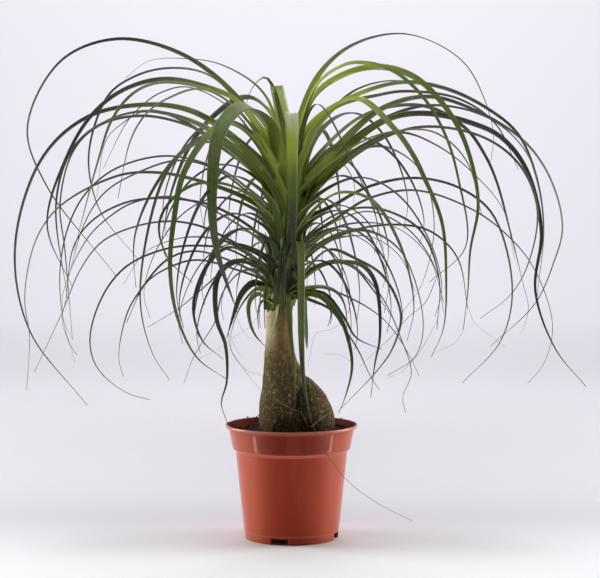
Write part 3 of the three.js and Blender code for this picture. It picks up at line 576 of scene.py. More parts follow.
# A leaf ages between these shares of its length, and one that faces the viewer evenly
AGE_SPAN = (0.13, 0.62)
AGE_POWER = 0.8
# How much older a leaf is at its tip than at its base, and less so where it comes forward, so
# that painted light keeps it younger and lighter
AGEING = 1.25
NEAR_LIT_AGEING = 0.5
# The short leaves round the foot of the crown, which reach no further than this, are greener:
# painted light on leaves in shade
SHORT_REACH = 62
SHORT_LIT_AGES = (0.35, 0.8)
# Leaves that come forward are as green as others rooted this much higher, as painted light
NEAR_LIGHT_RAISE = 45
TAPER_POWER = 2.6
# Past its broad base a leaf keeps this share of its width, and narrows to it over this share
# of its length
REST_WIDTH = 0.5
REST_SHARE = 0.18
# A leaf starts with this share of its roll and has all of it at this share of its length. The
# roll sets in over the base, up to this share of it and so much further.
ROLL_START = 0.8
ROLL_SHARE = 0.4
ROLL_IN = (0.8, 10)
# A leaf's base runs up the core's surface: (share of its length, height over the surface)
BASE_LIFT = [(0, -1.2), (0.4, 0.5), (0.8, 0.9)]
BASE_LENGTH = 78
SHORTEST_BASE = 4
BASE_LOWEST = 207
BASE_UNEVEN = 14
# How far the broad base goes on past the core
BASE_FADE = 70
# How much broader a leaf is at its base, low on the crown and high on it, and from which
# height to which the one turns into the other
CLASPS = (0.3, 1.3)
CROWN_HEIGHTS = (262, 325)
# Leaves that come further forward than this stay greener, as painted light
NEAR_FORWARD = 0.55
# The leaves that face the viewer are flatter than the others and vary less in tone. Those of
# them that are younger than this at the base are broader there.
FACING_CHANNEL = 0.3
FACING_TONE = 0.55
FACING_YOUNG = 0.3
FACING_CLASP = 0.6
# Short old leaf bases: lowest root, height and lean, with the range of the draw that scales
# them, and the shares of both at each knot
OLD_SEED = 29
OLD_ROOT = (211, 44)
OLD_RISE = (20, 26)
OLD_RISE_DRAW = (0.8, 1.2)
OLD_LEAN = (9, -4)
OLD_LEAN_DRAW = (0.6, 1.4)
OLD_UP = np.array([0, 0.35, 0.7, 1])
OLD_OUT = np.array([0, 0.15, 0.5, 1.1])
OLD_LIFT = 0.4
OLD_WIDTH = (8, -1.5)
OLD_AGE = (0.9, -0.3)
OLD_TIP_AGE = 1.2
OLD_CLASP = 0.3
OLD_DRY = (226, 210)
OLD_DRY_DRAW = (0.2, 0.9)


def number(name, description, default, **more):
    """A number of 0 or more that the sidebar shows."""
    return bpy.props.FloatProperty(
        name=name, description=description, default=default, min=0, **more
    )


def length(name, description, millimetres):
    """A length in metres, from its default in millimetres."""
    return number(name, description, millimetres * MM, precision=4, unit="LENGTH")


def share(name, description, default):
    """A share from none to all."""
    return number(name, description, default, max=1, subtype="FACTOR")


def tint(name, description, *screen):
    """A colour, from its default as it looks on the screen."""
    return bpy.props.FloatVectorProperty(
        name=name, description=description, default=shown(*screen), min=0, max=1, subtype="COLOR"
    )


def whole(name, description, default):
    """A count."""
    return bpy.props.IntProperty(name=name, description=description, default=default, min=0)


class PotSettings(bpy.types.PropertyGroup):
    """Sizes and finish of the pot"""

    lug_proud: length("Lug Height", "How far the stacking lugs stand out of the collar", LUG_PROUD)
    notch_width: length("Notch Width", "Width of each drainage notch in the foot", NOTCH_WIDTH)
    # Painted light and shade: the colour at the sides holds painted light from the side boxes, and
    # the deep colour where the wall is seen straight on is painted shade
    color: tint("Colour", "Colour of the moulded plastic at its sides", 194, 84, 51)
    shaded_front_color: tint("Deep Colour", "Colour where the wall is seen straight on", 174, 56, 28)
    # The worn colour is a painted highlight on the edges and lugs
    highlight_color: tint("Worn Colour", "Colour of the rubbed edges", 226, 150, 128)
    roughness: share("Roughness", "Roughness of the satin plastic", 0.2)


class SoilSettings(bpy.types.PropertyGroup):
    """Shape and colours of the soil"""

    grain: length("Grain", "Height of the fine lumps", 1.1)
    crumbs: whole("Crumbs", "Number of loose crumbs on top", 760)
    color: tint("Colour", "Colour of the damp soil", 50, 36, 30)
    dry_color: tint("Dry Colour", "Colour of the dry crumbs", 92, 68, 50)


class TrunkSettings(bpy.types.PropertyGroup):
    """Relief and colours of the bark"""

    lumps: length("Lumps", "Height of the slow lumps of the bark", 0.9)
    fissures: length("Fissures", "Depth of the cracks in the bark", 0.7)
    scars: length("Leaf Scars", "Depth of the fine rings on the stem", 0.22)
    brown: tint("Brown", "Colour of the old bark", 105, 76, 50)
    olive: tint("Olive", "Colour of the green mottling", 102, 92, 50)
    # The pale young bark shows on the left side only, as painted light from the left
    pale: tint("Pale", "Colour of the young bark at the top", 216, 204, 166)
    # The crack colour is the cracks' own dark colour with painted shade, and painted shade in the
    # fold and pit
    crack_color_and_shade: tint("Crack", "Colour in the cracks", 44, 34, 24)


class CrownSettings(bpy.types.PropertyGroup):
    """Relief and colours of the leaves"""

    thickness: length("Thickness", "Thickness of a leaf along its middle", 0.55)
    tip_width: length("Tip Width", "Width of a leaf at its tip", 0.6)
    channel: share("Channel", "How deep a leaf is folded along its middle", 0.34)
    sheaths: whole("Old Bases", "Number of short old leaf bases round the foot of the crown", 44)
    young: tint("Young", "Colour of the youngest leaves", 166, 180, 60)
    grown: tint("Grown", "Colour of the grown leaves", 94, 112, 42)
    old: tint("Old", "Colour of the oldest leaves", 44, 39, 45)
    margin: tint("Margin", "Colour of the pale margins and veins", 160, 166, 104)
    dry: tint("Dry", "Colour of the dry tips and old bases", 104, 84, 58)


class StageSettings(bpy.types.PropertyGroup):
    """Floor, light and camera"""

    floor: tint("Backdrop", "Colour of the backdrop", 229, 226, 234)
    # The floor behind the pot is darkened, painted shade that evens out the light on it, and the
    # floor in front is paler, painted light over the plant's shadow
    shaded_mid_floor: tint("Floor", "Colour of the floor behind the pot", 207, 204, 211)
    lit_near_floor: tint("Near Floor", "Colour of the floor in front of the pot", 250, 252, 254)
    light: number("Light", "Power of the soft boxes", 24, subtype="POWER")
    lens: number("Lens", "Focal length of the camera", 116, unit="CAMERA")


def smoothed(value, low, high):
    """0 below low and 1 above high, and 3t^2 - 2t^3 between them."""
    part = np.clip((value - low) / (high - low), 0, 1)
    return part * part * (3 - 2 * part)


def unit(vectors):
    """The vectors at length one."""
    return vectors / np.linalg.norm(vectors, axis=-1, keepdims=True)


def scatter(cells, seed):
    """A repeatable number from 0 to 1 for each cell of three whole numbers: their bits mixed."""
    mixed = ((cells * HASH_PRIMES).sum(-1) + seed * HASH_SEED) & HASH_MASK
    mixed = ((mixed ^ (mixed >> 15)) * HASH_FACTOR) & HASH_MASK
    return (mixed ^ (mixed >> 13)) / HASH_MASK


def noise(points, size, seed):
    """Smooth noise from -1 to 1: a random value at each corner of a grid with cells of that
    size, eased between the corners by 3t^2 - 2t^3."""
    place = points / size
    cell = np.floor(place).astype(np.int64)
    part = place - cell
    ease = part * part * (3 - 2 * part)
    total = 0
    for corner in np.ndindex(2, 2, 2):
        weight = np.where(corner, ease, 1 - ease).prod(-1)
        total = total + weight * scatter(cell + corner, seed)
    return 2 * total - 1


def layered(points, layers):
    """The sum of layers of noise of (share, size, seed)."""
    return sum(part * noise(points, size, seed) for part, size, seed in layers)


def rising(pair, level):
    """A value that grows from the pair's start by its gain as the level goes from 0 to 1."""
    return pair[0] + pair[1] * level


def table_at(table, place):
    """The columns of a table at each place in its first column: between two rows a column is
    the cubic whose slopes at the rows are those of the chords beside them, averaged."""
    table = np.array(table, float)
    at, columns = table[:, 0], table[:, 1:]
    slopes = np.gradient(columns, at, axis=0)
    place = np.clip(place, at[0], at[-1])
    row = np.clip(np.searchsorted(at, place, side="right") - 1, 0, len(at) - 2)
    width = (at[row + 1] - at[row])[..., None]
    part = (place[..., None] - at[row][..., None]) / width
    low, high = columns[row], columns[row + 1]
    rise = (
        low * (1 + 2 * part) * (1 - part) ** 2
        + high * (3 - 2 * part) * part**2
        + slopes[row] * width * part * (1 - part) ** 2
        - slopes[row + 1] * width * part**2 * (1 - part)
    )
    return np.clip(rise, np.minimum(low, high) - TABLE_SLACK, np.maximum(low, high) + TABLE_SLACK)


def curve_points(knots, count):
    """Points evenly spaced along a smooth curve through the knots. Each span is a cubic whose end
    slopes come from the knots on either side, and a span's length in the parameter is the
    square root of its chord."""
    ends = 2 * knots[[0, -1]] - knots[[1, -2]]
    full = np.concatenate([ends[:1], knots, ends[1:]])
    steps = np.sqrt(np.linalg.norm(np.diff(full, axis=0), axis=1))[:, None]
    before, span, after = steps[:-2], steps[1:-1], steps[2:]
    p0, p1, p2, p3 = full[:-3], full[1:-2], full[2:-1], full[3:]
    leave = span * ((p1 - p0) / before - (p2 - p0) / (before + span) + (p2 - p1) / span)
    arrive = span * ((p2 - p1) / span - (p3 - p1) / (span + after) + (p3 - p2) / after)

    def at(place):
        index = np.minimum(place.astype(int), len(span) - 1)
        part = (place - index)[:, None]
        square = (3 * (p2 - p1) - 2 * leave - arrive)[index]
        cube = (2 * (p1 - p2) + leave + arrive)[index]
        return p1[index] + leave[index] * part + square * part**2 + cube * part**3

    place = np.linspace(0, len(span), SPAN_POINTS * len(span) + 1)
    lengths = np.concatenate([[0], np.cumsum(np.linalg.norm(np.diff(at(place), axis=0), axis=1))])
    return at(np.interp(np.linspace(0, lengths[-1], count), lengths, place))


class Shell:
    """Closed tubes of rings, gathered into one mesh with named values at its points.

    Every ring runs anticlockwise as seen from the end that the tube leads to.
    """

    def __init__(self):
        self.points = []
        self.quads = []
        self.triangles = []
        self.values = {}
        self.count = 0

    def add(self, rings, **values):
        """Joins ring to ring by quads, and shuts each end by a fan to the middle of its ring."""
        rows, columns = rings.shape[:2]
        row, column = np.meshgrid(np.arange(rows - 1), np.arange(columns), indexing="ij")
        low = self.count + row * columns + column
        beside = self.count + row * columns + (column + 1) % columns
        quads = np.stack([low, beside, beside + columns, low + columns], -1)
        around = np.arange(columns)
        after = (around + 1) % columns
        bottom = self.count + rows * columns
        top = bottom + 1
        last = self.count + (rows - 1) * columns
        floor = np.stack([np.full(columns, bottom), self.count + after, self.count + around], -1)
        roof = np.stack([np.full(columns, top), last + around, last + after], -1)
        poles = rings[[0, -1]].mean(axis=1)
        self.points.append(np.concatenate([rings.reshape(-1, 3), poles]))
        self.quads.append(quads.reshape(-1, 4))
        self.triangles += [floor, roof]
        for name, value in values.items():
            full = np.broadcast_to(np.asarray(value, float), (rows, columns))
            ends = full[[0, -1]].mean(axis=1)
            self.values.setdefault(name, []).append(np.concatenate([full.ravel(), ends]))
        self.count += rows * columns + 2

    def piece(self, name, replaced, material, sharp=None):
        """The gathered mesh as a piece that rides on the root and stands for a CAD node."""
        points = np.concatenate(self.points) * MM
        quads = np.concatenate(self.quads)
        triangles = np.concatenate(self.triangles)
        corners = np.concatenate([quads.ravel(), triangles.ravel()])
        starts = np.concatenate([
            np.arange(len(quads)) * 4,
            len(quads) * 4 + np.arange(len(triangles)) * 3,
        ])
        mesh = bpy.data.meshes.new(name)
        mesh.vertices.add(len(points))
        mesh.vertices.foreach_set("co", points.ravel())
        mesh.loops.add(len(corners))
        mesh.loops.foreach_set("vertex_index", corners)
        mesh.polygons.add(len(starts))
        mesh.polygons.foreach_set("loop_start", starts)
        mesh.update(calc_edges=True)
        for label, parts in self.values.items():
            layer = mesh.attributes.new(label, "FLOAT", "POINT")
            layer.data.foreach_set("value", np.concatenate(parts))
        mesh.polygons.foreach_set("use_smooth", np.ones(len(starts), bool))
        if sharp is not None:
            mesh.set_sharp_from_angle(angle=np.radians(sharp))
        mesh.materials.append(material)
        made = bpy.data.objects.new(name, mesh)
        bpy.context.scene.collection.objects.link(made)
        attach(made, "root")
        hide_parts(replaced)
        return made


class Finish:
    """A procedural material: short calls that add shader nodes and link them."""

    def __init__(self, name):
        self.material = bpy.data.materials.new(name)
        self.material.use_nodes = True
        self.tree = self.material.node_tree
        self.shader = self.tree.nodes["Principled BSDF"]
        self.place = self.node("ShaderNodeTexCoord").outputs["Object"]

    def put(self, socket, value):
        """Links a socket, or sets a plain number or colour on it."""
        if isinstance(value, bpy.types.NodeSocket):
            self.tree.links.new(value, socket)
        elif np.ndim(value) == 1 and len(value) == 3 and socket.type == "RGBA":
            socket.default_value = (*value, 1)
        else:
            socket.default_value = value

    def node(self, kind, inputs=(), **settings):
        """A node with these settings and these inputs, by name or number."""
        made = self.tree.nodes.new(kind)
        for name, value in settings.items():
            setattr(made, name, value)
        for name, value in dict(inputs).items():
            self.put(made.inputs[name], value)
        return made

    def value(self, name):
        """A value that the mesh holds at its points."""
        return self.node("ShaderNodeAttribute", attribute_name=name).outputs["Fac"]

    def axis(self, name):
        """One of the three object coordinates, in metres."""
        return self.node("ShaderNodeSeparateXYZ", {0: self.place}).outputs[name]

    def math(self, operation, first, second=0.0):
        """A sum, product or other operation."""
        inputs = {0: first, 1: second}
        return self.node("ShaderNodeMath", inputs, operation=operation).outputs[0]

    def plus(self, first, second):
        """The sum of two values."""
        return self.math("ADD", first, second)

    def times(self, first, second):
        """The product of two values."""
        return self.math("MULTIPLY", first, second)

    def stretched(self, scale):
        """Object coordinates, scaled along each axis."""
        inputs = {"Vector": self.place, "Scale": scale}
        return self.node("ShaderNodeMapping", inputs).outputs[0]

    def noise(self, scale, detail, roughness, vector=None):
        """Cloudy noise from 0 to 1."""
        inputs = {
            "Vector": vector or self.place, "Scale": scale, "Detail": detail, "Roughness": roughness
        }
        return self.node("ShaderNodeTexNoise", inputs).outputs["Fac"]

    def cracks(self, scale, vector):
        """Distance to the nearest edge between cells."""
        inputs = {"Vector": vector, "Scale": scale}
        made = self.node("ShaderNodeTexVoronoi", inputs, feature="DISTANCE_TO_EDGE")
        return made.outputs["Distance"]

    def between(self, value, low, high, start=0.0, end=1.0):
        """Start below low and end above high, and eased between them."""
        inputs = {"Value": value, "From Min": low, "From Max": high, "To Min": start, "To Max": end}
        made = self.node("ShaderNodeMapRange", inputs, interpolation_type="SMOOTHSTEP")
        return made.outputs["Result"]

    def mix(self, factor, first, second):
        """The second colour over the first."""
        inputs = {0: factor, 6: first, 7: second}
        return self.node("ShaderNodeMix", inputs, data_type="RGBA").outputs[2]

    def painted(self, color, *layers):
        """A colour with layers of (share, colour) over it, the last one on top."""
        for part, over in layers:
            color = self.mix(part, color, over)
        return color

    def bump(self, height, strength, distance):
        """A normal tilted by a height, which stands for this distance in metres."""
        inputs = {"Height": height, "Strength": strength, "Distance": distance}
        return self.node("ShaderNodeBump", inputs).outputs["Normal"]

    def done(self, **sockets):
        """Sets the shader's own sockets, with underscores for the blanks in their names."""
        for name, value in sockets.items():
            self.put(self.shader.inputs[name.replace("_", " ")], value)
        return self.material


def plastic(settings):
    """Satin moulded plastic: painted shade where it is seen straight on and painted light at its
    sides, with more painted shade on the collar. Faint flow marks down the wall, a painted
    highlight along the edges and on the lugs, fine scuffs, a dusty foot, and painted shade with
    soil stains on the dull inside."""
    finish = Finish("moulded_plastic")
    height = finish.axis("Z")
    inside = finish.value("inside")
    facing = finish.node("ShaderNodeLayerWeight", {"Blend": 0.5}).outputs["Facing"]
    flow = finish.noise(60, 4, 0.55, finish.stretched((1, 1, 0.12)))
    grit = finish.noise(900, 2, 0.6)
    # How sideways the wall is seen: painted light at the sides, painted shade where it faces the
    # viewer
    painted_side_light = finish.plus(facing, finish.times(finish.noise(14, 2, 0.5), 0.06))
    # Painted shade on the collar, up from where it starts
    thick = finish.between(height, *COLLAR_SHADE_FROM, 0, 0.8)
    dust = finish.times(finish.between(height, *DUST_TO), finish.between(grit, 0.45, 0.75, 0, 0.5))
    color = finish.painted(
        finish.mix(thick, settings.shaded_front_color, COLLAR_SHADED_FRONT),
        (finish.between(painted_side_light, 0.04, 0.42), finish.mix(thick, settings.color, COLLAR_SHADED_SIDE)),
        (finish.between(flow, 0.45, 0.8, 0, 0.14), FLOW_MARK),
        # Painted highlight on the edges and lugs
        (finish.value("edge"), settings.highlight_color),
        (dust, FOOT_DUST),
        # Painted shade with soil stains on the inside
        (finish.times(inside, finish.between(grit, 0.3, 0.6, 0.55, 0.85)), INSIDE_SHADE_AND_STAIN),
    )
    satin = finish.between(
        finish.noise(45, 5, 0.6), 0.3, 0.7, settings.roughness - 0.01, settings.roughness + 0.03
    )
    relief = finish.plus(finish.times(flow, 0.6), finish.times(finish.noise(1400, 2, 0.5), 0.12))
    shine = finish.between(facing, 0.04, 0.35, 0.15, 0.46)
    return finish.done(
        Base_Color=color, Roughness=finish.math("MAXIMUM", satin, finish.times(inside, 0.85)),
        Normal=finish.bump(relief, 0.12, 0.0006), IOR=1.48,
        Specular_IOR_Level=finish.times(shine, finish.between(inside, 0, 1, 1, 0.15)),
    )


def earth(settings):
    """Damp potting soil: dark grains with dry, paler specks."""
    finish = Finish("potting_soil")
    fine = finish.noise(700, 5, 0.7)
    coarse = finish.noise(160, 3, 0.6)
    specks = finish.times(finish.between(fine, 0.45, 0.75), finish.between(coarse, 0.35, 0.7))
    dry = finish.plus(finish.times(specks, 0.6), finish.times(finish.value("tone"), 0.55))
    color = finish.painted(
        settings.color, (dry, settings.dry_color),
        (finish.between(coarse, 0.5, 0.25, 0, 0.7), SOIL_DARK),
    )
    return finish.done(
        Base_Color=color, Roughness=0.93, Specular_IOR_Level=0.25,
        Normal=finish.bump(fine, 0.7, 0.0008),
    )


def bark(settings):
    """Corky bark: olive mottling and pale specks over brown, dark in the cracks, partly with
    painted shade, painted shade in the fold and the pit, a browner stem with pale young bark at
    its left, where it is painted light from that side, and soil on the foot."""
    finish = Finish("corky_bark")
    across, height = finish.axis("X"), finish.axis("Z")
    long_grain = finish.stretched((1, 1, 0.62))
    patch = finish.noise(85, 5, 0.62, finish.stretched((1, 1, 0.5)))
    speck = finish.noise(420, 4, 0.65, long_grain)
    band = finish.times(finish.between(height, *MOTTLED_FROM), finish.between(height, *MOTTLED_TO))
    green = finish.times(finish.between(patch, 0.4, 0.62), finish.between(band, 0, 1, 0.25, 1))
    specked = finish.between(speck, 0.5, 0.62, 0, 0.75)
    # Painted light: the pale young bark only on the left side
    left = finish.between(finish.plus(across, finish.times(patch, 0.012)), *PALE_LIT_SIDE)
    bare = finish.between(finish.plus(height, finish.times(speck, 0.02)), *YOUNG_LEVELS)
    soiled = finish.between(patch, 0.3, 0.6, 0.55, 0.95)
    lines = finish.between(finish.cracks(520, long_grain), 0.1, 0.0, 0, 0.55)
    cracked = finish.times(lines, finish.between(height, *CRACKED_TO))
    color = finish.painted(
        settings.brown, (green, settings.olive),
        (finish.times(specked, finish.between(patch, 0.3, 0.6, 0.25, 1)), BARK_SPECKS),
        (finish.between(height, *STEM_LEVELS, 0, 0.8), STEM_BROWN),
        (finish.times(bare, left), settings.pale),
        (finish.times(finish.between(height, *SOILED_LEVELS), soiled), BARK_SOIL),
        # Painted shade in the hollows, with the cracks' own dark colour
        (finish.math("MAXIMUM", finish.value("hollow"), cracked), settings.crack_color_and_shade),
    )
    relief = finish.math("SUBTRACT", speck, finish.times(lines, 0.8))
    return finish.done(
        Base_Color=color, Roughness=0.86, Specular_IOR_Level=0.3,
        Normal=finish.bump(relief, 0.65, 0.0009),
    )


def foliage(settings):
    """Tough strap leaf: pale below the age of 0, a painted sheen of light on the waxy blade, then
    yellow-green, and dark and greyish when old, with fine veins along the blade, pale margins, a
    duller underside and dry tips. The tone makes some leaves darker."""
    finish = Finish(LEAF_FINISH)
    across, tone = finish.value("across"), finish.value("tone")
    strip = finish.node("ShaderNodeCombineXYZ", {
        0: finish.times(across, 5.5), 1: finish.times(finish.value("along"), 14),
        2: finish.times(tone, 90),
    }).outputs[0]
    veins = finish.noise(3.2, 3, 0.6, strip)
    blotch = finish.math("SUBTRACT", finish.noise(0.35, 3, 0.6, strip), 0.5)
    age = finish.plus(finish.value("age"), finish.times(blotch, 0.35))
    margin = finish.between(finish.math("ABSOLUTE", across), 0.86, 0.99, 0, 0.3)
    color = finish.painted(
        PAINTED_SHEEN_PALE, (finish.between(age, -0.5, -0.05), settings.young),
        (finish.between(age, 0.0, 0.5), settings.grown),
        (finish.between(age, 0.45, 1.05), settings.old),
        (finish.between(veins, 0.42, 0.68, 0, 0.22), settings.margin),
        (finish.between(veins, 0.48, 0.3, 0, 0.3), VEIN_GROOVE),
        (margin, settings.margin),
        (finish.times(finish.value("under"), 0.35), LEAF_BACK),
        (finish.between(tone, 0.35, 1, 0, 0.68), LEAF_SHADE),
        (finish.value("dry"), settings.dry),
    )
    return finish.done(
        Base_Color=color, Roughness=finish.between(veins, 0.3, 0.7, 0.4, 0.52),
        Specular_IOR_Level=0.36, Normal=finish.bump(veins, 0.3, 0.0005), Subsurface_Weight=0.12,
        Subsurface_Radius=(0.7, 0.9, 0.3), Subsurface_Scale=0.001,
    )


def rounded(corners, longest):
    """A profile through the corners. Each corner is rounded by the curve a(1-t)^2 + 2ct(1-t) + bt^2
    from a, one rounding length before the corner c, to b, as far after it, and no straight
    stretch is longer than the given length."""
    corners = np.array(corners, float)
    place, rounding = corners[:, :2], corners[:, 2:]
    part = np.linspace(0, 1, CORNER_POINTS)[:, None]
    stretches = []
    for index, corner in enumerate(place):
        if rounding[index] == 0:
            stretches.append(corner[None])
            continue
        start = corner + unit(place[index - 1] - corner) * rounding[index]
        end = corner + unit(place[index + 1] - corner) * rounding[index]
        stretches.append(start * (1 - part) ** 2 + 2 * corner * part * (1 - part) + end * part**2)
    outline = np.concatenate(stretches)
    gaps = np.linalg.norm(np.diff(outline, axis=0), axis=1)
    reach = np.concatenate([[0], np.cumsum(gaps)])
    counts = np.ceil(gaps / longest).astype(int)
    filled = [
        np.linspace(low, high, count + 1)[:-1]
        for low, high, count in zip(reach[:-1], reach[1:], counts)
    ]
    every = np.concatenate([*filled, reach[-1:]])
    return np.stack([np.interp(every, reach, outline[:, axis]) for axis in (0, 1)], -1)


def turns_with(even, marks):
    """Evenly spread turns in radians with some marked ones, in degrees, put in between them."""
    spread = np.linspace(-180, 180, even, endpoint=False)
    return np.radians(np.unique(np.concatenate([spread, (np.array(marks) + 180) % 360 - 180])))


def turn_gap(turns, middle):
    """How far each turn is from the middle one, in degrees, from -180 to 180."""
    return (np.degrees(turns) - middle + 180) % 360 - 180


def ridge(distance, half, ease):
    """1 within half of the middle and 0 beyond it, eased over the given distance."""
    return 1 - smoothed(np.abs(distance), half - ease, half + ease)


def pot_surface(lug_proud, notch_width):
    """The profile (r, z) turned by t to (r cos t, r sin t, z). A lug adds its height to r where t
    and z are within it. In a notch, z is raised to the slope of the notch's roof. Returns the
    rings, which of them are inside, and how much painted highlight each point has: most at the
    paler edges of the profile and over the lugs."""
    notch_turns = NOTCH_FIRST + 360 / NOTCH_COUNT * np.arange(NOTCH_COUNT)
    lug_turns = LUG_FIRST + 360 / LUG_COUNT * np.arange(LUG_COUNT)
    notch_half = np.degrees(notch_width / 2 / FOOT_RADIUS)
    lug_half = np.degrees(LUG_WIDTH / 2 / COLLAR_RADIUS)
    sides = np.array([-notch_half, notch_half])[:, None] + (-NOTCH_SLIT, NOTCH_SLIT)
    marks = [
        *(notch_turns[:, None, None] + sides).ravel(),
        *(lug_turns[:, None] + np.array(LUG_ROWS) * lug_half).ravel(),
    ]
    turns = turns_with(POT_TURNS, marks)
    profile = rounded(POT_CORNERS, POT_STEP)
    across, up = profile[:, :1], profile[:, 1:]
    outside = np.arange(len(profile))[:, None] < up.argmax()
    radius = np.repeat(across, len(turns), axis=1)
    height = np.repeat(up, len(turns), axis=1)
    # Painted highlight: how much of it each point has
    edge = np.zeros_like(radius)
    for at_radius, at_height, reach, amount in HIGHLIGHT_EDGES:
        gap = np.hypot(across - at_radius, up - at_height)
        edge = np.maximum(edge, amount * smoothed(gap, reach, HIGHLIGHT_CORE * reach))
    on_collar = outside & (up > COLLAR[0]) & (up < COLLAR[1])
    lug_level = on_collar * ridge(up - COLLAR_MIDDLE, LUG_HEIGHT / 2, LUG_END)
    highlight_level = on_collar * ridge(up - COLLAR_MIDDLE, *HIGHLIGHT_HEIGHT)
    for middle in lug_turns:
        gap = turn_gap(turns, middle) / lug_half
        radius += lug_proud * lug_level * ridge(gap, 1, LUG_FLANK)
        edge = np.maximum(edge, LUG_HIGHLIGHT * highlight_level * ridge(gap, *HIGHLIGHT_WIDTH))
    roof = FLOOR_UNDER + (NOTCH_TOP - FLOOR_UNDER) * smoothed(radius, *NOTCH_INNER)
    for middle in notch_turns:
        cut = outside & (np.abs(turn_gap(turns, middle)) < notch_half)
        height = np.where(cut, np.maximum(height, roof), height)
    rings = np.stack([radius * np.cos(turns), radius * np.sin(turns), height], -1)
    return rings, ~outside, edge


class PALM_OT_pot(bpy.types.Operator):
    """Moulded pot with a foot, four drainage notches, stacking lugs and a rolled lip"""

    bl_idname = "palm.pot"
    bl_label = "Pot"

    def execute(self, context):
        settings = context.scene.palm_pot
        rings, inside, edge = pot_surface(settings.lug_proud / MM, settings.notch_width / MM)
        shell = Shell()
        shell.add(rings, inside=inside, edge=edge)
        shell.piece("pot_moulded", "pot", plastic(settings), sharp=POT_SHARP)
        return {"FINISHED"}


def ellipse_reach(centre, rows, turns):
    """How far an ellipse of each row reaches from a centre inside it: the positive root r of
    ((c - m + r cos t) / a)^2 + (r sin t / b)^2 = 1, and 0 where the centre is outside it."""
    middle, wide, deep = (rows[:, column : column + 1] for column in range(3))
    offset = centre - middle
    square = (np.cos(turns) / wide) ** 2 + (np.sin(turns) / deep) ** 2
    linear = offset * np.cos(turns) / wide**2
    rest = (offset / wide) ** 2 - 1
    root = np.sqrt(np.maximum(linear**2 - square * rest, 0))
    return np.where(rest < 0, (root - linear) / square, 0)


def trunk_outline(heights, turns):
    """The trunk's outline at each height: its centre across, its reach from there at each turn,
    and how near that is to the fold. The reach is the larger of the stem's a and the lobe's b,
    plus n^2 w / 4, where n = max(w - |a - b|, 0) / w and w is the width of the fold."""
    centre = np.interp(heights, *np.transpose(TRUNK_CENTRES))[:, None]
    stem = ellipse_reach(centre, table_at(STEM_RINGS, heights), turns)
    lobe = ellipse_reach(centre, table_at(LOBE_RINGS, heights), turns)
    shown_lobe = (heights > LOBE_RINGS[0][0]) & (heights < LOBE_RINGS[-1][0])
    lobe = np.where(shown_lobe[:, None], lobe, 0)
    width = rising(FOLD_WIDTH, smoothed(heights[:, None], *FOLD_LEVELS))
    near = np.maximum(width - np.abs(stem - lobe), 0) / width
    return centre, np.maximum(stem, lobe) + near**2 * width / 4, near


def bark_relief(points, near, settings):
    """How far the bark stands out of the smooth trunk, and how dark it is, from 0 to 1: the cracks'
    own dark colour with painted shade in the cracks and scars, and painted shade in the fold and
    the pit. The lumps are layers of noise, the cracks run where a finer noise f passes 0, as
    1 - k |f|, and the leaf scars follow sin(2 pi z / spacing + noise). The pit is round in the
    plane of the picture, on the trunk's front."""
    x, y, z = np.moveaxis(points, -1, 0)

    def fading(to_height, least, from_height):
        return least + (1 - least) * smoothed(z, to_height, from_height)

    def wandering(share_of, size, seed):
        return share_of * noise(points, size, seed)

    lumps = layered(points, LUMP_LAYERS) * fading(*LUMP_FADE)
    web = 1 - CRACK_SHARPNESS * np.abs(layered(points * CRACK_STRETCH, CRACK_LAYERS))
    cracks = np.clip(web, 0, 1) * fading(*CRACK_FADE)
    scars = np.sin(z * FULL_TURN / SCAR_SPACING + wandering(*SCAR_WANDER))
    scarred = smoothed(z, *SCAR_LEVELS) * (1 - SCAR_PATCHES[0] + wandering(*SCAR_PATCHES))
    at_x, at_z, half_x, half_z, depth = FOLD_PIT
    from_pit = np.hypot((x - at_x) / half_x, (z - at_z) / half_z) + wandering(*PIT_WANDER)
    pit = smoothed(from_pit, *PIT_EASE) * (y < 0)
    relief = (
        settings.lumps * lumps - settings.fissures * cracks + settings.scars * scars * scarred
    ) / MM - depth * pit
    # Painted shade in the fold and the pit, and in the cracks and scars along with their own dark
    # colour
    dark = (
        CRACK_DARK_AND_SHADE * cracks + SCAR_DARK_AND_SHADE * np.clip(-scars, 0, 1) * scarred
        + FOLD_SHADE * near * smoothed(z, *FOLD_SHADE_LEVELS) + PIT_SHADE * pit
    )
    return relief, np.clip(dark, 0, 1)


class PALM_OT_trunk(bpy.types.Operator):
    """Swollen trunk: a stem that flares into the base, with a lobe and corky, fissured bark"""

    bl_idname = "palm.trunk"
    bl_label = "Trunk"

    def execute(self, context):
        settings = context.scene.palm_trunk
        turns = np.linspace(0, FULL_TURN, TRUNK_TURNS, endpoint=False)
        heights = np.linspace(STEM_RINGS[0][0], STEM_RINGS[-1][0], TRUNK_ROWS)
        centre, reach, near = trunk_outline(heights, turns)
        outwards = np.stack([np.cos(turns), np.sin(turns), 0 * turns], -1)
        middle = np.stack([centre, 0 * centre, heights[:, None]], -1)
        relief, hollow = bark_relief(middle + outwards * reach[..., None], near, settings)
        shell = Shell()
        shell.add(middle + outwards * (reach + relief)[..., None], hollow=hollow)
        shell.piece("trunk_bark", "trunk", bark(settings))
        return {"FINISHED"}


def soil_height(x, y, grain):
    """The soil's lumpy top: a few waves that do not line up, with grain on top."""
    waves = sum(
        height * np.sin(x * across + y * deep + start) for across, deep, start, height in SOIL_WAVES
    )
    flat = np.stack([x, y, np.zeros_like(x)], -1)
    return SOIL_TOP + waves + grain * layered(flat, SOIL_GRAIN)


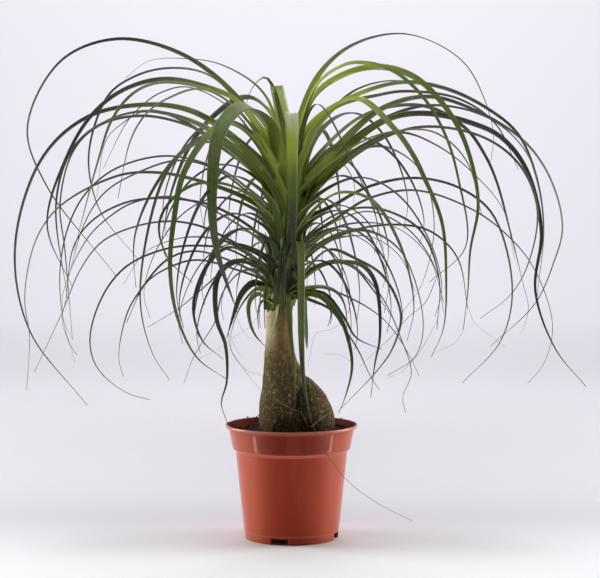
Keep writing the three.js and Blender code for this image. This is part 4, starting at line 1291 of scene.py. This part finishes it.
def soil_top(turns, part, grain):
    """Points of the soil's top at each turn round the trunk, part of the way from it to the wall.
    The soil is heaped a little against the trunk and sinks a little at the wall, and it goes a
    little way in under the bark."""
    centres, outlines, _ = trunk_outline(np.full(1, SOIL_TOP), turns)
    centre, inner = centres[0, 0], outlines[0] - UNDER_BARK
    cosine, sine = np.cos(turns), np.sin(turns)
    outer = np.sqrt(SOIL_EDGE**2 - (centre * sine) ** 2) - centre * cosine
    reach = inner + (outer - inner) * part
    x, y = centre + reach * cosine, reach * sine
    heap, heap_reach = SOIL_HEAP
    sink, sink_reach = SOIL_SINK
    heaped = heap * (1 - smoothed(reach - inner, 0, heap_reach))
    sunk = sink * smoothed(np.hypot(x, y), SOIL_EDGE - sink_reach, SOIL_EDGE)
    return np.stack([x, y, soil_height(x, y, grain) + heaped - sunk], -1)


def lumps_at(places, sizes, seed):
    """A crumb at each place: an icosahedron, with its corners at (0, +-1, +-g) and so on round
    for the golden ratio g, that are drawn in or out by seeded draws."""
    golden = (1 + 5**0.5) / 2
    corners = []
    for low in (-1, 1):
        for high in (-golden, golden):
            corners += [(0, low, high), (low, high, 0), (high, 0, low)]
    corners = unit(np.array(corners))
    gap = np.linalg.norm(corners[:, None] - corners[None], axis=-1)
    linked = np.isclose(gap, gap[gap > 0].min(), rtol=0.1)
    faces = np.array([
        trio for trio in combinations(range(len(corners)), 3)
        if all(linked[pair] for pair in combinations(trio, 2))
    ])
    first, second, third = (corners[faces[:, index]] for index in range(3))
    inwards = (np.cross(second - first, third - first) * first).sum(-1) < 0
    faces[inwards] = faces[inwards][:, ::-1]
    draws = np.random.default_rng(seed)
    shape = draws.uniform(*CRUMB_CORNERS, (len(places), len(corners), 1))
    shape = shape * draws.uniform(*CRUMB_SIDES, (len(places), 1, 3))
    points = places[:, None] + corners * shape * sizes[:, None, None]
    starts = len(corners) * np.arange(len(places))[:, None, None]
    tone = np.repeat(draws.uniform(0, 1, len(places)) ** 2, len(corners))
    return points.reshape(-1, 3), (faces + starts).reshape(-1, 3), tone


class PALM_OT_soil(bpy.types.Operator):
    """Potting soil with a lumpy top, a plain hole for the trunk, and loose crumbs"""

    bl_idname = "palm.soil"
    bl_label = "Soil"

    def execute(self, context):
        settings = context.scene.palm_soil
        grain = settings.grain / MM
        turns = np.linspace(0, FULL_TURN, SOIL_TURNS, endpoint=False)
        circle = np.stack([np.cos(turns), np.sin(turns), np.zeros_like(turns)], -1)
        wall = [circle * radius + (0, 0, height) for radius, height in SOIL_WALL]
        floor = wall[0] * (FLOOR_RING, FLOOR_RING, 1)
        parts = np.linspace(1, 0, SOIL_RINGS) ** SOIL_SPACING
        top = [soil_top(turns, part, grain) for part in parts]
        hole = top[-1] * (1, 1, 0) + (0, 0, HOLE_BOTTOM)
        inner = hole * (HOLE_RING, HOLE_RING, 1)
        shell = Shell()
        shell.add(np.stack([floor, *wall, *top, hole, inner]), tone=0.0)
        material = earth(settings)
        shell.piece("soil_bed", "soil", material)

        place_seed, shape_seed = CRUMB_SEEDS
        draws = np.random.default_rng(place_seed)
        count = settings.crumbs
        where = draws.uniform(0, FULL_TURN, count)
        way = draws.uniform(*CRUMB_WAY, count) ** CRUMB_OUTWARDS
        on_top = soil_top(where, way, grain)
        sizes = rising(CRUMB_RADIUS, draws.uniform(0, 1, count) ** 3)
        on_top[:, 2] += sizes * CRUMB_LIFT
        strays = np.array(STRAY_CRUMBS)
        places = np.concatenate([on_top, strays[:, :3]])
        points, faces, tone = lumps_at(places, np.concatenate([sizes, strays[:, 3]]), shape_seed)
        crumbs = Shell()
        crumbs.points.append(points)
        crumbs.quads.append(np.zeros((0, 4), int))
        crumbs.triangles.append(faces)
        crumbs.values["tone"] = [tone]
        crumbs.piece("soil_crumbs", "soil", material)
        return {"FINISHED"}


def core_at(height):
    """Middle across and radius of the crown's core at a height, straight between its rings."""
    height = np.minimum(height, CORE_RINGS[-1][0])
    table = np.transpose(CORE_RINGS)
    return np.interp(height, table[0], table[1]), np.interp(height, table[0], table[2])


class Draws:
    """A seeded draw from 0 to 1, the same on every run."""

    def __init__(self):
        self.state = DRAW_START

    def next(self):
        """The next number of the row."""
        self.state = (self.state * DRAW_FACTOR + DRAW_STEP) % DRAW_RANGE
        return self.state / DRAW_RANGE

    def spread(self):
        """The next number, from -1 to 1."""
        return self.next() * 2 - 1


def with_base(knots, lowest):
    """The knots with the root, which is inside the core, replaced by a base that runs up the
    core's surface at the leaf's own bearing. Returns the base's length too."""
    bearing = unit(knots[1, :2] - (core_at(knots[1, 2])[0], 0))
    height = knots[0, 2]
    down = min(BASE_LENGTH, height - lowest)
    if down < SHORTEST_BASE:
        return knots, 0.0
    share_up, lift = np.transpose(BASE_LIFT)
    heights = height - down * (1 - share_up)
    middle, radius = core_at(heights)
    out = radius + lift
    base = np.stack([middle + out * bearing[0], out * bearing[1], heights], -1)
    return np.concatenate([base, knots[1:]]), down


def leaf_rings(knots, base, width, roll, twist, look, power, rest, clasp):
    """Rings of one leaf along the curve through its knots.

    At the share s of the length beyond the base, the half width is
    h(s) = w/2 (1 - s^p)(r + (1 - r) exp(-s / q)), where r is the share of the width that is
    left past the broad base and q is REST_SHARE, and it grows by the clasp at the base. A point
    of the ring, at the share u of the half width, lies h u along the side and c h |u|^1.5
    towards the face, so that the leaf is a channel. The side is turned about the curve by the
    roll and the twist. Returns the rings, s, the length so far and how near the base each is.
    """
    total = np.linalg.norm(np.diff(knots, axis=0), axis=1).sum()
    steps = int(np.clip(total / LEAF_STEP, *LEAF_STEPS))
    middle = curve_points(knots, steps + 1)
    distance = np.linspace(0, total, steps + 1)[:, None]
    along = np.clip((distance - base) / (total - base), 0, 1)
    tangent = unit(np.gradient(middle, axis=0))
    reach = knots[:, :2] - knots[0, :2]
    far = reach[np.hypot(reach[:, 0], reach[:, 1]).argmax()]
    across = unit(np.array([-far[1], far[0], 0]))
    side = unit(across - tangent * (tangent @ across)[:, None])
    rolled = ROLL_START + (1 - ROLL_START) * np.minimum(1, along / ROLL_SHARE)
    rolled = rolled * smoothed(distance, 0, base * ROLL_IN[0] + ROLL_IN[1])
    angle = np.radians(roll * rolled + twist * along)
    side = side * np.cos(angle) + np.cross(tangent, side) * np.sin(angle)
    face = np.cross(tangent, side)
    narrowing = 1 if power >= CUT_POWER else 1 - along**power
    taper = narrowing * (rest + (1 - rest) * np.exp(-along / REST_SHARE))
    near_root = np.exp(-np.maximum(distance - base, 0) / BASE_FADE)
    half = np.maximum(width * taper * (1 + clasp * near_root), look["tip"]) / 2
    channel = look["channel"] * (1 + BASE_CHANNEL * near_root) * half
    thick = look["thickness"] * (THIN_SHARE + (1 - THIN_SHARE) * np.minimum(1, half / THICK_HALF))
    upwards = channel * np.abs(RING_ACROSS) ** CHANNEL_POWER - thick * RING_BELOW
    across_blade = side[:, None] * (half * RING_ACROSS)[..., None]
    rings = middle[:, None] + across_blade + face[:, None] * upwards[..., None]
    return rings, along, distance, near_root


def add_leaf(
    shell, knots, width, roll, twist, look, age, tone, clasp,
    power=TAPER_POWER, rest=REST_WIDTH, dryness=0.0, evenly=False,
):
    """Adds one leaf with its values: age, tone, dry tip, underside and place on the blade."""
    knots, base = with_base(knots, BASE_LOWEST + BASE_UNEVEN * tone)
    rings, along, distance, near_root = leaf_rings(
        knots, base, width, roll, twist, look, power, rest, clasp
    )
    dry_tip = DRY_SHARE * smoothed(along, DRY_FROM - DRY_SOONER * tone, DRY_TO)
    ripe = along**AGE_POWER if evenly else smoothed(along, *AGE_SPAN)
    shell.add(
        rings, age=age[0] + (age[1] - age[0]) * ripe - BASE_YOUTH * near_root,
        across=RING_ACROSS, along=distance * ALONG_SCALE, tone=tone,
        dry=np.maximum(dry_tip if power < BLUNT_POWER else 0, dryness),
        under=RING_BELOW > 0,
    )


def root_of(forward, first, second):
    """A root just inside the core, where the leaf's first stretch, run back, meets it."""
    outwards = np.sign(second[0] - first[0])
    across = core_at(first[1])[0] + outwards * ROOT_DEPTH
    slope = min(STEEPEST, (second[1] - first[1]) / abs(second[0] - first[0]))
    height = np.clip(first[1] - slope * abs(first[0] - across), LOWEST_ROOT, HIGHEST_ROOT)
    return core_at(height)[0] + outwards * ROOT_DEPTH, -forward * ROOT_DEPTH, height


def knots_in_space(forward, read):
    """Knots read in the plane of the axis, each moved forward along its line of sight."""
    read = np.array(read, float)
    depth = -forward * np.abs(read[:, 0] - core_at(read[:, 1])[0])
    moved = along_sight(read[:, 0], depth, read[:, 1])
    return np.concatenate([[root_of(forward, read[0], read[1])], moved])


def along_sight(across, depth, height):
    """Places read in the upright plane, moved along their lines of sight to their real depth."""
    scale = (EYE_DISTANCE + depth) / EYE_DISTANCE
    x = EYE_SIDE + (across - EYE_SIDE) * scale
    z = EYE_HEIGHT + (height - EYE_HEIGHT) * scale
    return np.stack([x, depth, z], -1)


def age_at(height, side, ageing):
    """Age of a leaf's base and tip. Leaves are youngest at the top of the crown, and a little
    younger on the right."""
    down = np.clip((AGE_TOP - height) / AGE_DEPTH, 0, 1)
    base = float(down**AGE_CURVE * AGE_GAIN + AGE_START - AGE_SIDE * side)
    return base, base + ageing


class PALM_OT_leaves(bpy.types.Operator):
    """Long arching leaves, in groups from the high arches to the low skirt"""

    bl_idname = "palm.leaves"
    bl_label = "Leaves"

    def execute(self, context):
        settings = context.scene.palm_crown
        look = leaf_look(settings)
        draws = Draws()
        tones = np.random.default_rng(LEAF_SEED)
        material = leaf_material(settings)
        for name, rows in READ_LEAVES.items():
            shell = Shell()
            for forward, width, roll, read in rows:
                twist = draws.spread() * DRAW_TWIST
                side = np.sign(read[1][0])
                knots = knots_in_space(forward, read)
                near = forward > NEAR_FORWARD
                clasp = float(np.interp(read[0][1], CROWN_HEIGHTS, CLASPS))
                # Painted light: leaves that come forward, and short ones round the foot, take a
                # younger, lighter colour
                age = age_at(read[0][1] + NEAR_LIGHT_RAISE * near, side, NEAR_LIT_AGEING if near else AGEING)
                if max(abs(knot[0]) for knot in read) < SHORT_REACH:
                    age = SHORT_LIT_AGES
                add_leaf(shell, knots, width, roll * side, twist, look, age, tones.uniform(), clasp)
            shell.piece(name, "leaf_crown", material)
        shell = Shell()
        flat = {**look, "channel": look["channel"] * FACING_CHANNEL}
        for width, roll, age, power, knots in FACING_LEAVES:
            clasp = FACING_CLASP if age[0] < FACING_YOUNG else 0
            add_leaf(
                shell, np.array(knots, float), width, roll, 0, flat, age,
                FACING_TONE * tones.uniform(), clasp, power, rest=1, evenly=True,
            )
        shell.piece("leaves_facing", "leaf_crown", material)
        for name, runs in FILL_RUNS.items():
            shell = Shell()
            for run in runs:
                for knots, width, twist, level in fill_leaves(run, draws):
                    age = (rising(FILL_AGE, level), FILL_TIP_AGE)
                    clasp = float(np.interp(level, (0, 1), CLASPS))
                    add_leaf(shell, knots, width, 0, twist, look, age, tones.uniform(), clasp)
            shell.piece(name, "leaf_crown", material)
        return {"FINISHED"}


def fill_leaves(run, draws):
    """Leaves of one run: the higher up the crown, the longer, the broader and the further out.
    Each follows the outline's shares of the reach, the rise and the droop."""
    from_turn, to_turn, count, low, high, reach_share, drop_share = run
    for leaf in range(count):
        level = low + (high - low) * (leaf + 0.5) / count
        turn = np.radians(from_turn + (to_turn - from_turn) * ((leaf + 1) * GOLDEN % 1))
        size = 1 + draws.spread() * DRAW_JITTER
        sway = draws.spread() * DRAW_JITTER
        twist = draws.spread() * DRAW_TWIST
        root = rising(FILL_ROOT, level)
        rise = rising(FILL_RISE, level) * size
        reach = rising(FILL_REACH, level) * reach_share * size
        drop = rising(FILL_DROP, level) * drop_share * size
        out, up, down = FILL_OUTLINE.T
        distance = ROOT_DEPTH + (reach - ROOT_DEPTH) * out
        bearing = turn + sway * out
        x = core_at(root)[0] + distance * np.cos(bearing)
        knots = np.stack([x, distance * np.sin(bearing), root + rise * up - drop * down], -1)
        yield knots, rising(FILL_WIDTH, level), twist, level


def leaf_look(settings):
    """The leaf sizes of the sidebar in millimetres, and the depth of the channel."""
    thickness, tip = settings.thickness / MM, settings.tip_width / MM
    return {"thickness": thickness, "tip": tip, "channel": settings.channel}


def leaf_material(settings):
    """The one leaf material, made on first use."""
    return bpy.data.materials.get(LEAF_FINISH) or foliage(settings)


class PALM_OT_threads(bpy.types.Operator):
    """Hair-thin leaf tips and stray fibres: narrow blades along the curves through their knots"""

    bl_idname = "palm.threads"
    bl_label = "Threads"

    def execute(self, context):
        settings = context.scene.palm_crown
        look = {"thickness": THREAD_THICKNESS, "tip": THREAD_TIP, "channel": 0}
        tones = np.random.default_rng(THREAD_SEED)
        shell = Shell()
        for width, age, read in THREADS:
            knots = along_sight(*np.transpose(read))
            rings, along, distance, _ = leaf_rings(
                knots, 0, width, 0, 0, look, TAPER_POWER, rest=1, clasp=0
            )
            shell.add(
                rings, age=age, across=RING_ACROSS, along=distance * ALONG_SCALE,
                tone=tones.uniform(), dry=THREAD_DRYNESS * along, under=0.0,
            )
        shell.piece("leaf_threads", "leaf_crown", leaf_material(settings))
        return {"FINISHED"}


class PALM_OT_leaf_bases(bpy.types.Operator):
    """Core of the crown: packed leaf bases wound round it on a golden spiral"""

    bl_idname = "palm.leaf_bases"
    bl_label = "Leaf Bases"

    def execute(self, context):
        settings = context.scene.palm_crown
        material = leaf_material(settings)
        turns = np.linspace(0, FULL_TURN, CORE_TURNS, endpoint=False)
        heights = np.linspace(CORE_RINGS[0][0], CORE_RINGS[-1][0], CORE_ROWS)[:, None]
        middle, radius = core_at(heights)
        reach = radius * (CORE_FILL + sum(
            depth * np.sin(count * turns + slant * heights) for count, slant, depth in CORE_GROOVES
        ))
        x, y = middle + reach * np.cos(turns), reach * np.sin(turns)
        core = Shell()
        core.add(
            np.stack([x, y, heights + 0 * reach], -1), age=CORE_AGE, tone=CORE_TONE,
            across=np.sin(CORE_GROOVES[0][0] * turns), along=heights * ALONG_SCALE,
            dry=smoothed(heights, *CORE_DRY), under=0.0,
        )
        core.piece("leaf_core", "leaf_crown", material)

        look = leaf_look(settings)
        tones = np.random.default_rng(OLD_SEED)
        shell = Shell()
        for sheath in range(settings.sheaths):
            level = (sheath + 0.5) / settings.sheaths
            turn = FULL_TURN * GOLDEN * sheath
            root = rising(OLD_ROOT, level)
            rise = rising(OLD_RISE, level) * tones.uniform(*OLD_RISE_DRAW) * OLD_UP
            lean = rising(OLD_LEAN, level) * tones.uniform(*OLD_LEAN_DRAW) * OLD_OUT
            out = core_at(root)[1] + OLD_LIFT + lean
            x = core_at(root + rise)[0] + out * np.cos(turn)
            knots = np.stack([x, out * np.sin(turn), root + rise], -1)
            dryness = float(smoothed(root, *OLD_DRY)) * tones.uniform(*OLD_DRY_DRAW)
            add_leaf(
                shell, knots, rising(OLD_WIDTH, level), 0, 0, look,
                (rising(OLD_AGE, level), OLD_TIP_AGE), tones.uniform(), OLD_CLASP, dryness=dryness,
            )
        shell.piece("leaf_bases", "leaf_crown", material)
        return {"FINISHED"}


class PALM_OT_stage(bpy.types.Operator):
    """Pale floor that curves up into the backdrop, soft boxes and the camera"""

    bl_idname = "palm.stage"
    bl_label = "Stage"

    def execute(self, context):
        settings = context.scene.palm_stage
        bend = np.linspace(0, np.pi / 2, BEND_POINTS)
        y = np.concatenate([[FLOOR_FRONT], FLOOR_BACK + BEND * np.sin(bend), [FLOOR_BACK + BEND]])
        z = np.concatenate([[0], BEND - BEND * np.cos(bend), [WALL_TOP]])
        x = np.array([-FLOOR_HALF, FLOOR_HALF])
        points = np.stack(np.broadcast_arrays(x, y[:, None], z[:, None]), -1).reshape(-1, 3)
        low = 2 * np.arange(len(y) - 1)[:, None]
        faces = low + (0, 1, 3, 2)
        mesh = bpy.data.meshes.new("floor")
        mesh.from_pydata(points.tolist(), [], faces.tolist())
        mesh.polygons.foreach_set("use_smooth", np.ones(len(faces), bool))
        finish = Finish("paper")
        depth = finish.axis("Y")
        # Painted shade on the floor behind the pot and painted light in front of it
        color = finish.painted(
            settings.floor, (finish.between(depth, *SHADED_FLOOR_DEPTHS), settings.shaded_mid_floor),
            (finish.between(depth, *LIT_FRONT_DEPTHS), settings.lit_near_floor),
        )
        mesh.materials.append(finish.done(Base_Color=color, Roughness=0.9, Specular_IOR_Level=0.15))
        floor = bpy.data.objects.new("floor", mesh)
        context.scene.collection.objects.link(floor)
        floor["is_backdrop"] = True

        world = bpy.data.worlds.new("studio")
        world.use_nodes = True
        nodes = world.node_tree.nodes
        backing = nodes["Background"]
        backing.inputs["Color"].default_value = (*STUDIO, 1)
        seen = nodes.new("ShaderNodeLightPath")
        strength = nodes.new("ShaderNodeMapRange")
        strength.inputs["To Min"].default_value = STUDIO_LIGHT
        strength.inputs["To Max"].default_value = 1
        world.node_tree.links.new(seen.outputs["Is Camera Ray"], strength.inputs["Value"])
        world.node_tree.links.new(strength.outputs["Result"], backing.inputs["Strength"])
        context.scene.world = world
        for name, place, target, size, spread, power in SOFT_BOXES:
            lamp = bpy.data.lights.new(name, "AREA")
            lamp.shape = "RECTANGLE"
            lamp.size, lamp.size_y = size
            lamp.spread = np.radians(spread)
            lamp.energy = settings.light * power
            stand_at(name, lamp, place, target)

        camera = bpy.data.cameras.new("camera")
        camera.lens = settings.lens
        camera.sensor_width = SENSOR_WIDTH
        camera.clip_start = CLIP_START
        eye = (EYE_SIDE * MM, -EYE_DISTANCE * MM, EYE_HEIGHT * MM)
        looked_at = (EYE_SIDE * MM, 0, LOOK_HEIGHT * MM)
        context.scene.camera = stand_at("camera", camera, eye, looked_at)
        context.scene.view_settings.view_transform = "Standard"
        return {"FINISHED"}


def stand_at(name, held, place, target):
    """A lamp or camera at a place, pointed at a target."""
    stand = bpy.data.objects.new(name, held)
    stand.location = place
    stand.rotation_euler = (Vector(target) - Vector(place)).to_track_quat("-Z", "Y").to_euler()
    bpy.context.scene.collection.objects.link(stand)
    return stand


class PALM_PT_sidebar(bpy.types.Panel):
    """Sizes, colours and pieces of the plant"""

    bl_label = "Ponytail Palm"
    bl_space_type = "VIEW_3D"
    bl_region_type = "UI"
    bl_category = "Palm"

    def draw(self, context):
        for label, group, operators in SECTIONS:
            box = self.layout.box()
            box.label(text=label)
            settings = getattr(context.scene, group)
            for name in settings.bl_rna.properties.keys():
                if name not in ("rna_type", "name"):
                    box.prop(settings, name)
            for operator in operators:
                box.operator(operator)


GROUPS = {
    "palm_pot": PotSettings,
    "palm_soil": SoilSettings,
    "palm_trunk": TrunkSettings,
    "palm_crown": CrownSettings,
    "palm_stage": StageSettings,
}
SECTIONS = (
    ("Pot", "palm_pot", ("palm.pot",)),
    ("Soil", "palm_soil", ("palm.soil",)),
    ("Trunk", "palm_trunk", ("palm.trunk",)),
    ("Crown", "palm_crown", ("palm.leaves", "palm.leaf_bases", "palm.threads")),
    ("Stage", "palm_stage", ("palm.stage",)),
)
OPERATORS = (
    PALM_OT_pot, PALM_OT_soil, PALM_OT_trunk, PALM_OT_leaves, PALM_OT_leaf_bases, PALM_OT_threads,
    PALM_OT_stage,
)


def register():
    """Registers the settings, the operators and the panel."""
    for group, settings in GROUPS.items():
        bpy.utils.register_class(settings)
        setattr(bpy.types.Scene, group, bpy.props.PointerProperty(type=settings))
    for operator in (*OPERATORS, PALM_PT_sidebar):
        bpy.utils.register_class(operator)


def unregister():
    """Takes them away again."""
    for operator in (PALM_PT_sidebar, *reversed(OPERATORS)):
        bpy.utils.unregister_class(operator)
    for group, settings in GROUPS.items():
        delattr(bpy.types.Scene, group)
        bpy.utils.unregister_class(settings)


def main():
    """Makes every piece in order."""
    register()
    bpy.ops.palm.pot()
    bpy.ops.palm.soil()
    bpy.ops.palm.trunk()
    bpy.ops.palm.leaves()
    bpy.ops.palm.leaf_bases()
    bpy.ops.palm.threads()
    bpy.ops.palm.stage()
    boxes = {"cad": frame_box, "visual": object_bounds()}
    {name: [list(corner) for corner in box] for name, box in boxes.items()}


if __name__ == "__main__":
    main()
